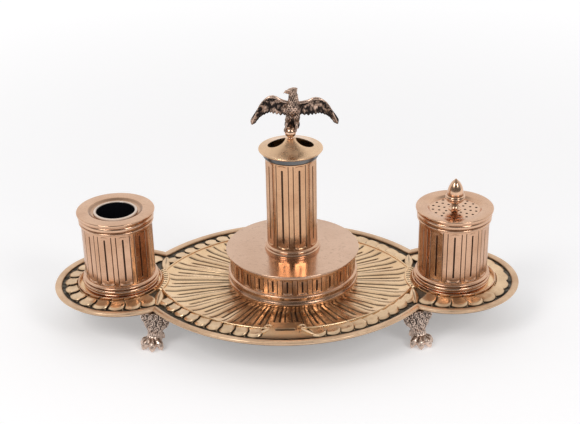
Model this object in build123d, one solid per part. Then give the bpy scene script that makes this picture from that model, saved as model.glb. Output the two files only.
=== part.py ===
from build123d import *
import os
from math import asin, atan2, cos, degrees, radians, sin, sqrt

os.makedirs("parts", exist_ok=True)

# ---------------------------------------------------------------------------
# Driving sizes, all in mm.  +Z is up, +X runs along the length towards the
# pounce pot, -Y is the front.  The feet stand on z = 0.
# ---------------------------------------------------------------------------
tray_length = 300.0          # over the two end lobes
tray_width = 161.2           # over the two long arcs
lobe_r = 45.0                # outer radius of a round end lobe
long_arc_r = 103.7           # outer radius of the front and back arcs
rim_w = 4.4                  # width of the half-round border wire
rim_h = 2.8                  # and its height
rim_top = 28.3               # highest line of the border wire
ground_z = 26.2              # stippled ground inside the border
plate_under = 24.6           # underside of the tray plate
fillet_top = 28.2            # raised line round the fluted field
field_z = 25.8               # flat floor of the fluted field
platform_z = 27.2            # round platforms that carry the two pots

clear = 0.4                  # radial gap of a lift-off fit
well_shift = 3.2             # each well ring's axis lies outside its lobe's centre
ink_shift = 0.8              # the ink pot stands a little inward in its well
pounce_shift = 1.4           # and the pounce pot a little more
drum_x = 4.0                 # drum axis, standing slightly off the middle

pot_r = 22.5                 # outside radius of the fluted pot walls
pot_wall = 1.0
pot_floor_t = 1.2
pot_rim_z = 76.0             # top edge of the pot walls
cover_h = 2.7                # height of the ink cover and the pounce lid over that edge
drum_r = 40.3                # outside radius of the drum wall
drum_wall_t = 1.1
drum_floor_t = 1.2
drum_rim_z = 50.2            # top edge of the drum wall
lid_t = 1.2                  # thickness of the drum's disc lid
column_r = 16.0              # outside radius of the quill column
column_wall = 1.0
column_h = 67.0              # height of the column over the drum's lid
quill_hole_r = 5.5
orb_r = 3.5                  # ball under the eagle
orb_rise = 4.5               # height of its centre over the cap
eagle_h = 28.3               # height of the eagle over the ball's centre

# Sizes that follow from the ones above.
lobe_x = tray_length / 2 - lobe_r
arc_shift = long_arc_r - tray_width / 2
well_x = lobe_x + well_shift
pot_x_left = ink_shift - well_x
pot_x_right = well_x - pounce_shift
lid_top_z = drum_rim_z + lid_t
lid_r = drum_r + 2.1
pot_inner_r = pot_r - pot_wall
cover_top_z = pot_rim_z + cover_h
cover_r = pot_r + 2.1
drum_inner_r = drum_r - drum_wall_t
column_inner_r = column_r - column_wall
column_top_z = lid_top_z + column_h
cap_r = column_r + 4.0
quill_hole_x = (column_r + 1.2) / 2
foot_ring_r = pot_r + 1.9    # widest bead round the foot of each pot
well_in_r = foot_ring_r + pounce_shift + 0.35
well_out_r = well_in_r + 0.8
far = 2 * tray_length        # reach of blocks that only trim something


def save(shape, name):
    export_step(shape, "parts/" + name + ".step")


def turned(profile, x=0.0, y=0.0):
    """A solid of revolution about the upright axis through (x, y)."""
    outline = make_face(Polyline(*[(r, 0, z) for r, z in profile], close=True))
    return Pos(x, y, 0) * revolve(outline, Axis.Z)


def ring(r_in, r_out, z_low, z_high, x=0.0, y=0.0):
    height = z_high - z_low
    body = Cylinder(r_out, height, align=(Align.CENTER, Align.CENTER, Align.MIN))
    if r_in > 0:
        body -= Cylinder(r_in, height, align=(Align.CENTER, Align.CENTER, Align.MIN))
    return Pos(x, y, z_low) * body


def swell(r, z_low, z_high, bulge, steps=7):
    """Points of a half-round moulding that stands out from radius r."""
    points = []
    for i in range(steps + 1):
        turn = radians(180 * i / steps)
        mid = (z_low + z_high) / 2
        points.append((r + bulge * sin(turn), mid - (z_high - z_low) / 2 * cos(turn)))
    return points


def polar(r, angle, x=0.0, y=0.0):
    return x + r * cos(radians(angle)), y + r * sin(radians(angle))


# ---------------------------------------------------------------------------
# Plan outline of the tray: two long arcs and two round lobes that meet in
# cusped necks.  "inset" is the distance in from the outer edge.
# ---------------------------------------------------------------------------
def lens_face(inset):
    big = Circle(long_arc_r - inset)
    return (Pos(0, arc_shift) * big) & (Pos(0, -arc_shift) * big)


def tray_face(inset):
    face = lens_face(inset)
    for side in (-1, 1):
        face += Pos(side * lobe_x, 0) * Circle(lobe_r - inset)
    return face


def slab(face, z_low, z_high):
    return extrude(Pos(0, 0, z_low) * face, z_high - z_low)


def neck_point(inset):
    """Where a long arc crosses a lobe circle, both set in by the same amount."""
    r1 = long_arc_r - inset
    r2 = lobe_r - inset
    dx, dy = lobe_x, -arc_shift
    gap = sqrt(dx * dx + dy * dy)
    along = (r1 * r1 - r2 * r2 + gap * gap) / (2 * gap)
    across = sqrt(r1 * r1 - along * along)
    ux, uy = dx / gap, dy / gap
    return ux * along + uy * across, arc_shift + uy * along - ux * across


neck_x, neck_y = neck_point(0)
rim_neck_x = neck_point(rim_w / 2)[0]


def border_ring(outline, inset_x, trim_x):
    """Sweep one outline round all four arcs; they meet upright at trim_x."""
    section = Plane.XZ * make_face(Polyline(*outline, close=True))
    tall = 60
    long_swing = degrees(asin((trim_x + 3) / (long_arc_r - 2 * inset_x)))
    front = revolve(Pos(long_arc_r - inset_x, 0, 0) * section, Axis.Z, revolution_arc=2 * long_swing)
    front = Pos(0, arc_shift, 0) * Rot(0, 0, -90 - long_swing) * front
    front = front & Box(2 * trim_x, far, tall, align=(Align.CENTER, Align.CENTER, Align.MIN))
    lobe_swing = degrees(atan2(-neck_y, neck_x - lobe_x)) + 8
    right = revolve(Pos(lobe_r - inset_x, 0, 0) * section, Axis.Z, revolution_arc=2 * lobe_swing)
    right = Pos(lobe_x, 0, 0) * Rot(0, 0, -lobe_swing) * right
    right = right & (Pos(trim_x, 0, 0) * Box(far, far, tall, align=(Align.MIN, Align.CENTER, Align.MIN)))
    return front + mirror(front, about=Plane.XZ) + right + mirror(right, about=Plane.YZ)


# Border wire: a flattened wire with a step cut in it to sit over the plate's edge.
wire_r = rim_w / 2
wire_z = rim_top - rim_h / 2
wire_end = 180 - degrees(asin((ground_z - wire_z) / (rim_h / 2)))
wire_outline = []
for i in range(15):
    turn = radians(-90 + i * (wire_end + 90) / 14)
    wire_outline.append((wire_r * cos(turn), wire_z + rim_h / 2 * sin(turn)))
wire_outline.append((0, ground_z))
tray_rim = border_ring(wire_outline, wire_r, rim_neck_x)
plate = slab(tray_face(wire_r), plate_under, ground_z)

# Tray plate with the raised line round the field and the two pot platforms.
platform_r = well_out_r + 0.3
line_inset = 15.8
line_w = 1.2
collar_w = 4.2               # plain collar between each platform and the field
platforms = [Pos(side * well_x, 0) * Circle(platform_r) for side in (-1, 1)]
field_block = slab(lens_face(line_inset), ground_z, fillet_top)
for disc in platforms:
    field_block -= slab(disc, 0, 60)
tray = plate + field_block
for disc in platforms:
    tray += slab(disc, ground_z, platform_z)


# The field is dished: a hollow curve falls from the raised line to the floor.
cove_reach = 9.0
end_reach = 5.4
fall = fillet_top - field_z


def dish(r_top, reach, way):
    """Round block whose side follows the hollow curve; way is -1 inward, 1 outward."""
    r_low = r_top + way * reach
    bend = (reach ** 2 + fall ** 2) / (2 * fall)
    half = asin(reach / bend) / 2
    middle = (r_low - way * bend * sin(half), field_z + bend * (1 - cos(half)))
    edges = [
        Polyline((r_low, field_z), (0, field_z), (0, fillet_top + 2), (r_top, fillet_top + 2), (r_top, fillet_top)),
        ThreePointArc((r_top, fillet_top), middle, (r_low, field_z)),
    ]
    return revolve(Plane.XZ * make_face(edges), Axis.Z)


field_inset = line_inset + line_w
long_dish = dish(long_arc_r - field_inset, cove_reach, -1)
recess = Pos(0, arc_shift, 0) * Rot(0, 0, 90) * long_dish
recess = recess & (Pos(0, -arc_shift, 0) * Rot(0, 0, -90) * long_dish)
end_dish = dish(platform_r + collar_w, end_reach, 1)
for side in (-1, 1):
    recess -= Pos(side * well_x, 0, 0) * Rot(0, 0, 90 * (1 - side)) * end_dish
tray -= recess


def field_reach(angle, inset, end_gap):
    """Distance from the tray's centre to the field's edge in one direction."""
    ux, uy = cos(radians(angle)), abs(sin(radians(angle)))
    r1 = long_arc_r - inset
    reach = -arc_shift * uy + sqrt(r1 * r1 - (arc_shift * ux) ** 2)
    near = abs(ux) * well_x
    inside = (platform_r + end_gap) ** 2 - (uy * well_x) ** 2
    if inside > 0:
        reach = min(reach, near - sqrt(inside))
    return reach


# Radiating flutes: thirty deep slots, each between a pair of finer lines.
flute_count = 30
flute_start = drum_r - 10.3
flutes = []
for i in range(flute_count):
    for offset, width, depth, back in ((0, 1.2, 0.7, 2.5), (4, 0.5, 0.35, 0.8), (8, 0.5, 0.35, 0.8)):
        angle = i * 360 / flute_count + offset + 2
        span = field_reach(angle, field_inset + cove_reach, collar_w + end_reach) - back
        cutter = Box(span - flute_start, width, 2 * depth, align=(Align.MIN, Align.CENTER, Align.CENTER))
        flutes.append(Rot(0, 0, angle) * Pos(flute_start, 0, field_z) * cutter)
tray -= flutes

# Short flutes across each collar, pointing at the pot.
nicks = []
for side in (-1, 1):
    for i in range(-4, 5):
        nick = Pos(-side * (platform_r + collar_w / 2), 0, fillet_top) * Box(2.4, 0.6, 0.6)
        nicks.append(Pos(side * well_x, 0, 0) * Rot(0, 0, 8 * i) * nick)
tray -= nicks

# Plain panel with a slot, front and back, between the ends of the leaf bands.
panel_half = 9.0
panel_top = 27.9
for side in (-1, 1):
    y_out = side * (tray_width / 2 - 7.5)
    y_in = side * (tray_width / 2 - line_inset)
    pad = Pos(0, (y_out + y_in) / 2, ground_z) * Box(
        2 * panel_half, abs(y_out - y_in) + 1.0, panel_top - ground_z,
        align=(Align.CENTER, Align.CENTER, Align.MIN))
    tray += pad
    slot = Pos(0, side * (tray_width / 2 - 13.6), panel_top) * SlotOverall(13, 1.3)
    tray -= extrude(slot, -0.9)

# Blind holes for the studs of the four feet.
foot_x = neck_x - 0.1
foot_y = -neck_y - 4.7
stud_foot_r = 1.4
stud_low = 15.0
stud_high = 25.3
foot_sides = [("front_left", -1, -1), ("front_right", 1, -1), ("back_left", -1, 1), ("back_right", 1, 1)]
for name, sx, sy in foot_sides:
    tray -= ring(0, stud_foot_r, plate_under, stud_high, sx * foot_x, sy * foot_y)
save(tray, "tray")
save(tray_rim, "tray_rim")

# ---------------------------------------------------------------------------
# Leaf bands: one row of overlapping leaves, cast as six strips.
# ---------------------------------------------------------------------------
leaf_in = 15.2               # inset of the band's inner edge
leaf_out = 6.2               # inset of its outer edge
leaf_h = 2.6                 # height over the ground
leaf_pitch = 9.4


def leaf_section(w):
    half = Plane.XZ * Ellipse(w / 2, leaf_h)
    upper = Plane.XZ * Rectangle(w, leaf_h, align=(Align.CENTER, Align.MIN))
    return half & upper


def leaf_band(r_mid, w, start, end):
    """A band of leaves on an arc, notched where one leaf ends on the next."""
    section = Pos(r_mid, 0, ground_z) * leaf_section(w)
    band = Rot(0, 0, start) * revolve(section, Axis.Z, revolution_arc=end - start)
    count = max(2, round(radians(end - start) * r_mid / leaf_pitch))
    step = (end - start) / count
    cuts = []
    for i in range(1, count):
        turn = start + i * step
        joint = Pos(0, 0, leaf_h * 0.45) * Box(0.5, w + 2, leaf_h, align=(Align.CENTER, Align.CENTER, Align.MIN))
        cuts.append(Rot(0, 0, turn - 90) * Pos(0, r_mid, ground_z) * Rot(0, 0, 12) * joint)
        for edge in (-1, 1):
            nick = extrude(RegularPolygon(1.5, 3, rotation=-90 * edge), leaf_h + 1)
            cuts.append(Rot(0, 0, turn - 90) * Pos(0, r_mid + edge * (w / 2), ground_z) * nick)
    return band - cuts


band_w = leaf_in - leaf_out
long_mid = long_arc_r - (leaf_in + leaf_out) / 2
first = degrees(asin((panel_half + 1.2) / long_mid))
last = degrees(asin((neck_x - 1.6) / (long_arc_r - leaf_in)))
long_band = leaf_band(long_mid, band_w, -90 + first, -90 + last)
long_band = Pos(0, arc_shift, 0) * long_band
long_band = long_band & Pos(0, -far / 2 - 0.2, 0) * Box(2 * (neck_x - 0.8), far, 60)
save(long_band, "leaf_band_front_right")
save(mirror(long_band, about=Plane.YZ), "leaf_band_front_left")
save(mirror(long_band, about=Plane.XZ), "leaf_band_back_right")
save(Rot(0, 0, 180) * long_band, "leaf_band_back_left")

end_band_in = well_out_r + (well_x - lobe_x) + 0.7
end_band_out = lobe_r - leaf_out
end_mid = (end_band_in + end_band_out) / 2
end_swing = degrees(atan2(-neck_y, neck_x - lobe_x)) + 8
end_band = leaf_band(end_mid, end_band_out - end_band_in, -end_swing, end_swing)
end_band = Pos(lobe_x, 0, 0) * end_band
keep = Pos(neck_x + 0.2, 0, 0) * Box(far, far, 60, align=(Align.MIN, Align.CENTER, Align.MIN))
end_band = end_band & keep
save(end_band, "leaf_band_right_end")
save(mirror(end_band, about=Plane.YZ), "leaf_band_left_end")

# Low rings on the platforms; each pot stands inside one.
well_top = platform_z + 2.1
for name, side in (("left", -1), ("right", 1)):
    profile = [
        (well_in_r, platform_z), (well_out_r, platform_z), (well_out_r, well_top - 0.5),
        (well_out_r - 0.3, well_top), (well_in_r + 0.15, well_top), (well_in_r, well_top - 0.3),
    ]
    save(turned(profile, side * well_x), "well_ring_" + name)

# ---------------------------------------------------------------------------
# Four lion's-paw feet, each drawn up to the tray by a stud in a blind hole.
# ---------------------------------------------------------------------------
foot_top = plate_under
toe_way = -62.0              # the front right paw points out and to the front


def limb(start, end, r_start, r_end):
    """A tapering round limb from one point to another."""
    line = Vector(*end) - Vector(*start)
    cone = Cone(r_start, r_end, line.length, align=(Align.CENTER, Align.CENTER, Align.MIN))
    return Plane(origin=start, z_dir=line) * cone


def bead(x, y, z, r):
    return Pos(x, y, z) * Sphere(r)


def one_foot():
    """Front right foot: haunch, shin, and a paw with four toes and a dew claw."""
    levels = [
        (foot_top, 16.0, 12.0, 0.0, 0.0), (20.0, 16.4, 12.6, 0.0, -0.6), (16.0, 13.6, 11.0, 0.3, -0.5),
        (12.0, 9.6, 9.0, 0.8, -0.4), (8.6, 7.8, 8.0, 1.2, -0.6), (5.0, 10.0, 10.0, 2.0, -1.6),
        (1.6, 11.0, 11.0, 2.3, -2.2),
    ]
    sections = []
    for z, wide, deep, dx, dy in levels:
        sections.append(Pos(foot_x + dx, -foot_y + dy, z) * Rot(0, 0, 28) * Ellipse(wide / 2, deep / 2))
    paw_x = foot_x + levels[-1][3]
    paw_y = levels[-1][4] - foot_y
    foot = loft(sections) + ring(0, 5.0, 0, 2.2, paw_x, paw_y)
    for swing, reach in ((-54, 4.2), (-18, 5.2), (18, 5.2), (54, 4.2)):
        tx, ty = polar(reach, toe_way + swing, paw_x, paw_y)
        ex, ey = polar(reach + 2.4, toe_way + swing, paw_x, paw_y)
        foot += bead(tx, ty, 2.4, 2.4)
        foot += limb((tx, ty, 2.3), (ex, ey, 1.5), 2.1, 1.2) + bead(ex, ey, 1.4, 1.4)
    tx, ty = polar(4.6, 150, paw_x, paw_y)
    foot += bead(tx, ty, 4.6, 1.3)
    return foot - ring(0, stud_foot_r, stud_low, foot_top + 1, foot_x, -foot_y)


paw_foot = one_foot()
save(paw_foot, "foot_front_right")
save(mirror(paw_foot, about=Plane.YZ), "foot_front_left")
save(mirror(paw_foot, about=Plane.XZ), "foot_back_right")
save(Rot(0, 0, 180) * paw_foot, "foot_back_left")
studs = [ring(0, stud_foot_r, stud_low, stud_high, sx * foot_x, sy * foot_y) for name, sx, sy in foot_sides]
save(Compound(children=studs), "foot_studs")


# ---------------------------------------------------------------------------
# The two pots.  Both have the same fluted case: floor, wall, foot moulding
# and neck ring.
# ---------------------------------------------------------------------------
def fluted_tube(r_out, r_in, z_low, z_high, x, count, turn, rib, slot_z, slot_w, line_z):
    """A tube with upright slots in its panels and a fine line each side of every rib."""
    tube = ring(r_in, r_out, z_low, z_high)
    cuts = []
    low, high = slot_z
    for i in range(count):
        angle = turn + i * 360 / count
        slot = Box(1.0, slot_w, high - low - slot_w)
        ends = Rot(0, 90, 0) * Cylinder(slot_w / 2, 1.0)
        half = (high - low - slot_w) / 2
        for piece in (slot, Pos(0, 0, half) * ends, Pos(0, 0, -half) * ends):
            cuts.append(Rot(0, 0, angle) * Pos(r_out, 0, (low + high) / 2) * piece)
        for side in (-1, 1):
            line = Box(0.4, 0.35, line_z[1] - line_z[0])
            away = angle + side * (180 / count - rib / 2)
            cuts.append(Rot(0, 0, away) * Pos(r_out, 0, (line_z[0] + line_z[1]) / 2) * line)
    return Pos(x, 0, 0) * (tube - cuts)


pot_foot_top = platform_z + 7.0
neck_low = pot_rim_z - 3.6
neck_ring_r = pot_r + 1.3
for name, x, turn in (("ink", pot_x_left, -103.0), ("pounce", pot_x_right, -94.0)):
    floor_top = platform_z + pot_floor_t
    save(ring(0, pot_r, platform_z, floor_top, x), name + "_floor")
    wall = fluted_tube(pot_r, pot_inner_r, floor_top, pot_rim_z, x, 12, turn, 7.5,
                       (pot_foot_top + 4.0, neck_low - 4.1), 1.2, (pot_foot_top + 0.3, neck_low - 0.3))
    save(wall, name + "_wall")
    low = platform_z
    profile = [(pot_r, low), (pot_r + 1.5, low), (pot_r + 1.5, low + 2.2), (pot_r + 1.1, low + 2.6)]
    profile += swell(pot_r + 1.1, low + 2.7, low + 4.8, foot_ring_r - pot_r - 1.1)
    profile += [(pot_r + 0.6, low + 5.0), (pot_r + 0.6, low + 5.4)]
    profile += swell(pot_r + 0.6, low + 5.5, low + 6.7, 0.8)
    profile += [(pot_r + 0.3, pot_foot_top), (pot_r, pot_foot_top)]
    save(turned(profile, x), name + "_foot_moulding")
    profile = [(pot_r, neck_low), (pot_r + 0.4, neck_low)]
    profile += swell(pot_r + 0.4, neck_low + 0.1, neck_low + 1.4, 0.6)
    profile += [(pot_r + 0.7, neck_low + 1.7), (neck_ring_r, neck_low + 2.0)]
    profile += [(neck_ring_r, pot_rim_z), (pot_r, pot_rim_z)]
    save(turned(profile, x), name + "_neck_ring")

# Ink cover: a stepped ring with a dished middle that carries the liner.
liner_in_r = 12.0
liner_wall = 0.9
liner_out_r = liner_in_r + liner_wall
cover_hole_r = liner_out_r + 0.3
seat_z = pot_rim_z + 0.9
bowl_r = cover_hole_r + 4.0
cover_profile = [
    (cover_hole_r, pot_rim_z - 0.3), (pot_inner_r - 3.0, pot_rim_z - 0.3), (pot_inner_r - 2.6, pot_rim_z),
    (neck_ring_r, pot_rim_z), (neck_ring_r, seat_z), (cover_r, seat_z + 0.4), (cover_r, cover_top_z - 0.4),
    (cover_r - 0.4, cover_top_z), (bowl_r, cover_top_z), (bowl_r - 0.3, cover_top_z - 0.3),
    (bowl_r - 1.1, seat_z + 0.7), (bowl_r - 2.0, seat_z + 0.2), (bowl_r - 2.8, seat_z), (cover_hole_r, seat_z),
]
save(turned(cover_profile, pot_x_left), "ink_cover")
flange_out = pot_inner_r - clear
flange_low = pot_rim_z - 4.5
save(ring(flange_out - 1.0, flange_out, flange_low, pot_rim_z, pot_x_left), "ink_cover_flange")

# Liner: a straight cup hung by its rolled lip on the cover.
liner_low = platform_z + 5.8
lip_r = liner_out_r + 0.9
profile = [(0, liner_low), (liner_out_r - 1.5, liner_low), (liner_out_r, liner_low + 1.5), (liner_out_r, seat_z)]
profile += [(lip_r, seat_z), (lip_r + 0.1, seat_z + 0.5), (lip_r - 0.2, seat_z + 1.0), (lip_r - 0.8, seat_z + 1.2)]
profile += [(liner_in_r + 0.3, seat_z + 1.0), (liner_in_r, seat_z + 0.5)]
profile += [(liner_in_r, liner_low + 2.4), (liner_in_r - 1.2, liner_low + 1.2), (0, liner_low + 1.2)]
save(turned(profile, pot_x_left), "ink_liner")

# Pounce lid: a plain ring round a sunk middle pierced with small holes.
sieve_z = cover_top_z - 0.5
sieve_r = pot_inner_r - 5.6
stem_r = 1.2
lid_edge = [
    (stem_r, pot_rim_z + 0.3), (pot_inner_r - 3.0, pot_rim_z + 0.3), (pot_inner_r - 2.6, pot_rim_z),
    (neck_ring_r, pot_rim_z), (neck_ring_r, seat_z), (cover_r, seat_z + 0.4), (cover_r, cover_top_z - 0.4),
    (cover_r - 0.4, cover_top_z), (sieve_r + 0.7, cover_top_z), (sieve_r, sieve_z), (stem_r, sieve_z),
]
pounce_lid = turned(lid_edge, pot_x_right)
holes = []
for count, r, turn in ((8, sieve_r - 9.3, 30), (12, sieve_r - 5.7, 12), (16, sieve_r - 2.1, 4)):
    for i in range(count):
        hx, hy = polar(r, turn + i * 360 / count, pot_x_right, 0)
        holes.append(ring(0, 0.65, pot_rim_z - 2, cover_top_z + 1, hx, hy))
pounce_lid -= holes
save(pounce_lid, "pounce_lid")
save(ring(flange_out - 1.0, flange_out, flange_low, pot_rim_z, pot_x_right), "pounce_lid_flange")

# Acorn knob with a threaded end, and the nut that holds it under the lid.
nut_low = pot_rim_z - 2.4
knob = [(2.9, 0), (2.9, 0.5), (1.9, 1.0), (1.8, 2.0), (3.2, 2.6), (4.6, 3.8), (5.3, 5.4), (5.5, 7.0), (5.2, 8.0)]
knob += [(4.5, 8.2), (4.6, 9.8), (4.3, 12.4), (3.5, 15.0), (2.3, 17.2), (1.1, 18.4), (0.6, 19.1), (0, 19.3)]
profile = [(0, nut_low - 0.6), (stem_r, nut_low - 0.6), (stem_r, sieve_z)] + [(r, sieve_z + z) for r, z in knob]
save(turned(profile, pot_x_right), "pounce_acorn")
hexagon = extrude(RegularPolygon(3.0, 6) - Circle(stem_r), pot_rim_z + 0.3 - nut_low)
save(Pos(pot_x_right, 0, nut_low) * hexagon, "pounce_nut")

# ---------------------------------------------------------------------------
# Central drum and its lift-off lid, which carries the quill column.
# ---------------------------------------------------------------------------
save(ring(0, drum_r, field_z, field_z + drum_floor_t, drum_x), "drum_floor")
drum_foot_top = field_z + 11.2
band_low = drum_rim_z - 2.2
drum_wall = fluted_tube(drum_r, drum_inner_r, field_z + drum_floor_t, drum_rim_z, drum_x, 27, -94.0, 4.4,
                        (drum_foot_top + 1.6, band_low - 1.2), 1.3, (drum_foot_top + 0.2, band_low - 0.2))
save(drum_wall, "drum_wall")
low = field_z
profile = [(drum_r, low), (drum_r + 0.5, low), (drum_r + 0.5, low + 2.6), (drum_r + 0.8, low + 2.8)]
profile += swell(drum_r + 0.8, low + 3.1, low + 6.6, 0.6)
profile += [(drum_r + 0.6, low + 7.0), (drum_r + 0.4, low + 7.8), (drum_r + 0.5, low + 9.0)]
profile += swell(drum_r + 0.5, low + 9.3, low + 10.9, 0.6)
profile += [(drum_r + 0.3, drum_foot_top), (drum_r, drum_foot_top)]
save(turned(profile, drum_x), "drum_foot_moulding")
save(ring(drum_r, drum_r + 0.7, band_low, drum_rim_z, drum_x), "drum_top_band")

lid_profile = [(0, drum_rim_z), (lid_r - 0.2, drum_rim_z), (lid_r, drum_rim_z + 0.3), (lid_r, lid_top_z - 0.3)]
lid_profile += [(lid_r - 0.3, lid_top_z), (0, lid_top_z)]
save(turned(lid_profile, drum_x), "drum_lid")
lid_flange_r = drum_inner_r - clear
save(ring(lid_flange_r - 0.9, lid_flange_r, drum_rim_z - 4.8, drum_rim_z, drum_x), "drum_lid_flange")

low = lid_top_z
profile = [(column_r, low), (column_r + 1.6, low), (column_r + 1.6, low + 1.8), (column_r + 1.0, low + 2.2)]
profile += swell(column_r + 0.6, low + 2.3, low + 3.7, 0.5)
profile += [(column_r + 0.3, low + 4.0), (column_r, low + 4.0)]
save(turned(profile, drum_x), "column_foot_ring")
column = fluted_tube(column_r, column_inner_r, lid_top_z, column_top_z, drum_x, 9, -110.0, 11.0,
                     (lid_top_z + 8.8, column_top_z - 8.2), 1.2, (lid_top_z + 4.4, column_top_z - 4.6))
save(column, "column")
neck_ring_low = column_top_z - 4.2
profile = [(column_r, neck_ring_low), (column_r + 0.6, neck_ring_low), (column_r + 1.3, neck_ring_low + 1.0)]
profile += [(column_r + 1.3, column_top_z), (column_r, column_top_z)]
save(turned(profile, drum_x), "column_neck_ring")

# ---------------------------------------------------------------------------
# Cap: a low bell with two quill holes, lifted off with the ball and eagle.
# ---------------------------------------------------------------------------
cap_edge_top = column_top_z + 1.3
dome_top = column_top_z + 6.8
orb_z = dome_top + orb_rise
stud_r = 1.2
dome_under = dome_top - 1.4
cap_inner_r = column_inner_r - clear
cap_lip = [
    (cap_inner_r, column_top_z + 1.4), (cap_inner_r, column_top_z), (cap_r - 0.4, column_top_z),
    (cap_r, cap_edge_top - 0.9), (cap_r, cap_edge_top - 0.2), (cap_r - 0.3, cap_edge_top),
]
cap_outline = [
    Polyline((3.4, dome_top), (stud_r, dome_top), (stud_r, dome_under), (4.6, dome_under)),
    ThreePointArc((4.6, dome_under), ((4.6 + cap_inner_r) / 2, (dome_under + cap_lip[0][1]) / 2 - 0.6), cap_lip[0]),
    Polyline(*cap_lip),
    ThreePointArc(cap_lip[-1], ((cap_r + 3.1) / 2, (cap_edge_top + dome_top) / 2 - 0.8), (3.4, dome_top)),
]
cap = revolve(Plane.XZ * make_face(cap_outline), Axis.Z)
for side in (-1, 1):
    cap -= ring(0, quill_hole_r, column_top_z - 1, dome_top + 3, side * quill_hole_x)
save(Pos(drum_x, 0, 0) * cap, "cap")
save(ring(cap_inner_r - 0.5, cap_inner_r, column_top_z - 4.9, column_top_z, drum_x), "cap_flange")

orb_neck_r = 2.2
profile = [(0, dome_top - 4.6), (stud_r, dome_top - 4.6), (stud_r, dome_top), (orb_neck_r, dome_top)]
profile += [(orb_neck_r, dome_top + 0.5), (1.6, dome_top + 1.1)]
orb_low = orb_z - sqrt(orb_r ** 2 - 1.6 ** 2)
steps = 12
low_turn = atan2(1.6, orb_z - orb_low)
for i in range(steps + 1):
    turn = low_turn + (radians(180) - low_turn) * i / steps
    profile.append((orb_r * sin(turn), orb_z - orb_r * cos(turn)))
profile[-1] = (0, orb_z + orb_r)
save(turned(profile, drum_x), "orb")
cap_nut_h = 2.2
hexagon = extrude(RegularPolygon(2.9, 6) - Circle(stud_r), cap_nut_h)
save(Pos(drum_x, 0, dome_top - 2.15 - cap_nut_h) * hexagon, "cap_nut")


# ---------------------------------------------------------------------------
# Eagle: spread wings, head turned to its right, claws on the ball.  Its own
# heights are measured from the ball's centre.
# ---------------------------------------------------------------------------
body_x = 1.7                 # the bird leans a little to its left over the ball
breast = limb((body_x, 1.0, 11.2), (body_x, 0.3, 15.7), 3.0, 4.2) + bead(body_x, 1.0, 11.2, 3.0)
breast += bead(body_x, 0.3, 15.7, 4.2)
neck = limb((body_x, 0.4, 17.3), (body_x + 0.3, 2.0, 24.0), 3.7, 2.4) + bead(body_x + 0.3, 2.0, 24.2, 2.5)
crown = bead(body_x + 0.1, 2.2, eagle_h - 2.6, 2.6)
beak = limb((body_x - 1.9, 1.8, 25.4), (body_x - 5.3, 1.4, 25.0), 1.5, 0.5)
eagle = breast + neck + crown + beak

wing_shift = 2.7             # the wings spread a little further to the bird's left
wing_root = [(0.4, 11.5), (0.4, 19.3)]
wing_tip = (26.7, 4.9)
wing_edge = Spline(wing_root[1], (7.0, 20.1), (12.2, 23.5), (16.6, 22.3), (21.2, 16.7), (25.2, 9.1), wing_tip)
wing_under = Spline(wing_tip, (24.8, 5.5), (20.4, 9.1), (15.6, 12.1), (10.0, 11.1), wing_root[0])
wing_face = make_face([wing_edge, wing_under, Line(*wing_root)])
wing = extrude(Plane.XZ * wing_face, 1.1, both=True)
eagle += Pos(wing_shift, 1.9, 0) * wing
eagle += Pos(wing_shift, 1.9, 0) * mirror(wing, about=Plane.YZ)

half_tail = [(2.6, 11.3), (5.6, -1.1), (2.8, -2.3)]
tail_outline = half_tail + [(-x, z) for x, z in reversed(half_tail)]
tail = Pos(body_x - 0.3, 4.6, 0) * extrude(Plane.XZ * make_face(Polyline(*tail_outline, close=True)), 0.8, both=True)
eagle = eagle + tail + limb((body_x, 1.4, 11.0), (body_x, 4.8, 9.6), 2.8, 2.2)

for side, hip, knee, heel in ((-1, -0.5, -1.6, -2.8), (1, 3.9, 4.2, 3.6)):
    eagle += limb((hip, 0.4, 11.2), (knee, -0.2, 6.6), 2.3, 1.2) + bead(knee, -0.2, 6.6, 1.2)
    eagle += limb((knee, -0.2, 6.6), (heel, -0.7, 1.6), 1.1, 1.0) + bead(heel, -0.7, 1.6, 1.0)
    for claw in (50, 95):
        cx, cy = polar(orb_r * 1.05, -90 + side * claw)
        eagle += limb((heel, -0.7, 1.6), (cx, cy, 0.3), 0.9, 0.6)
eagle -= bead(0, 0, 0, orb_r)
save(Pos(drum_x, 0, orb_z) * eagle, "eagle")
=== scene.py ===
import bpy
import bmesh
import math
import random
from mathutils import Matrix, Vector, noise


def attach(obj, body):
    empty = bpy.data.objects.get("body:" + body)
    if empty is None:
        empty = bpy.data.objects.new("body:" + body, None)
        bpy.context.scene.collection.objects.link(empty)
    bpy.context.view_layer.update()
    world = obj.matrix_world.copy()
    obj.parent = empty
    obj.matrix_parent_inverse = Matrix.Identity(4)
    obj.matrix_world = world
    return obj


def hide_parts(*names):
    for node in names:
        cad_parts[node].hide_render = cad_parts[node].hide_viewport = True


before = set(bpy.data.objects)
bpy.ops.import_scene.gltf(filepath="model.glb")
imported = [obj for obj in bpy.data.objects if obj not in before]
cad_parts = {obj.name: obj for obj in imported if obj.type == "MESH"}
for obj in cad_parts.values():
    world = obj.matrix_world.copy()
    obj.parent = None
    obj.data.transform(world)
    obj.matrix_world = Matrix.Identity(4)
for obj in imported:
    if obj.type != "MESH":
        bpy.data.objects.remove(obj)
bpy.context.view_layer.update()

# ---------------------------------------------------------------------------
# Tray plate.  One casting: a flat stippled ground, dark in its own matt tone
# and painted darker as the shade in its channel round the edge, a dished field
# with radiating flutes, a raised line round the field, and a plain panel with a
# slot at the front and at the back.
# ---------------------------------------------------------------------------
mm = 0.001
lobe_x, lobe_r = 105.0, 45.0          # the two round ends of the tray
arc_r, arc_shift = 103.7, 23.1        # its two long arcs, and how far their centres lie off the middle
wire_r = 2.2                          # half the border wire's width; the plate ends under its middle
ground_z, under_z, field_z = 26.2, 24.6, 25.8
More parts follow.
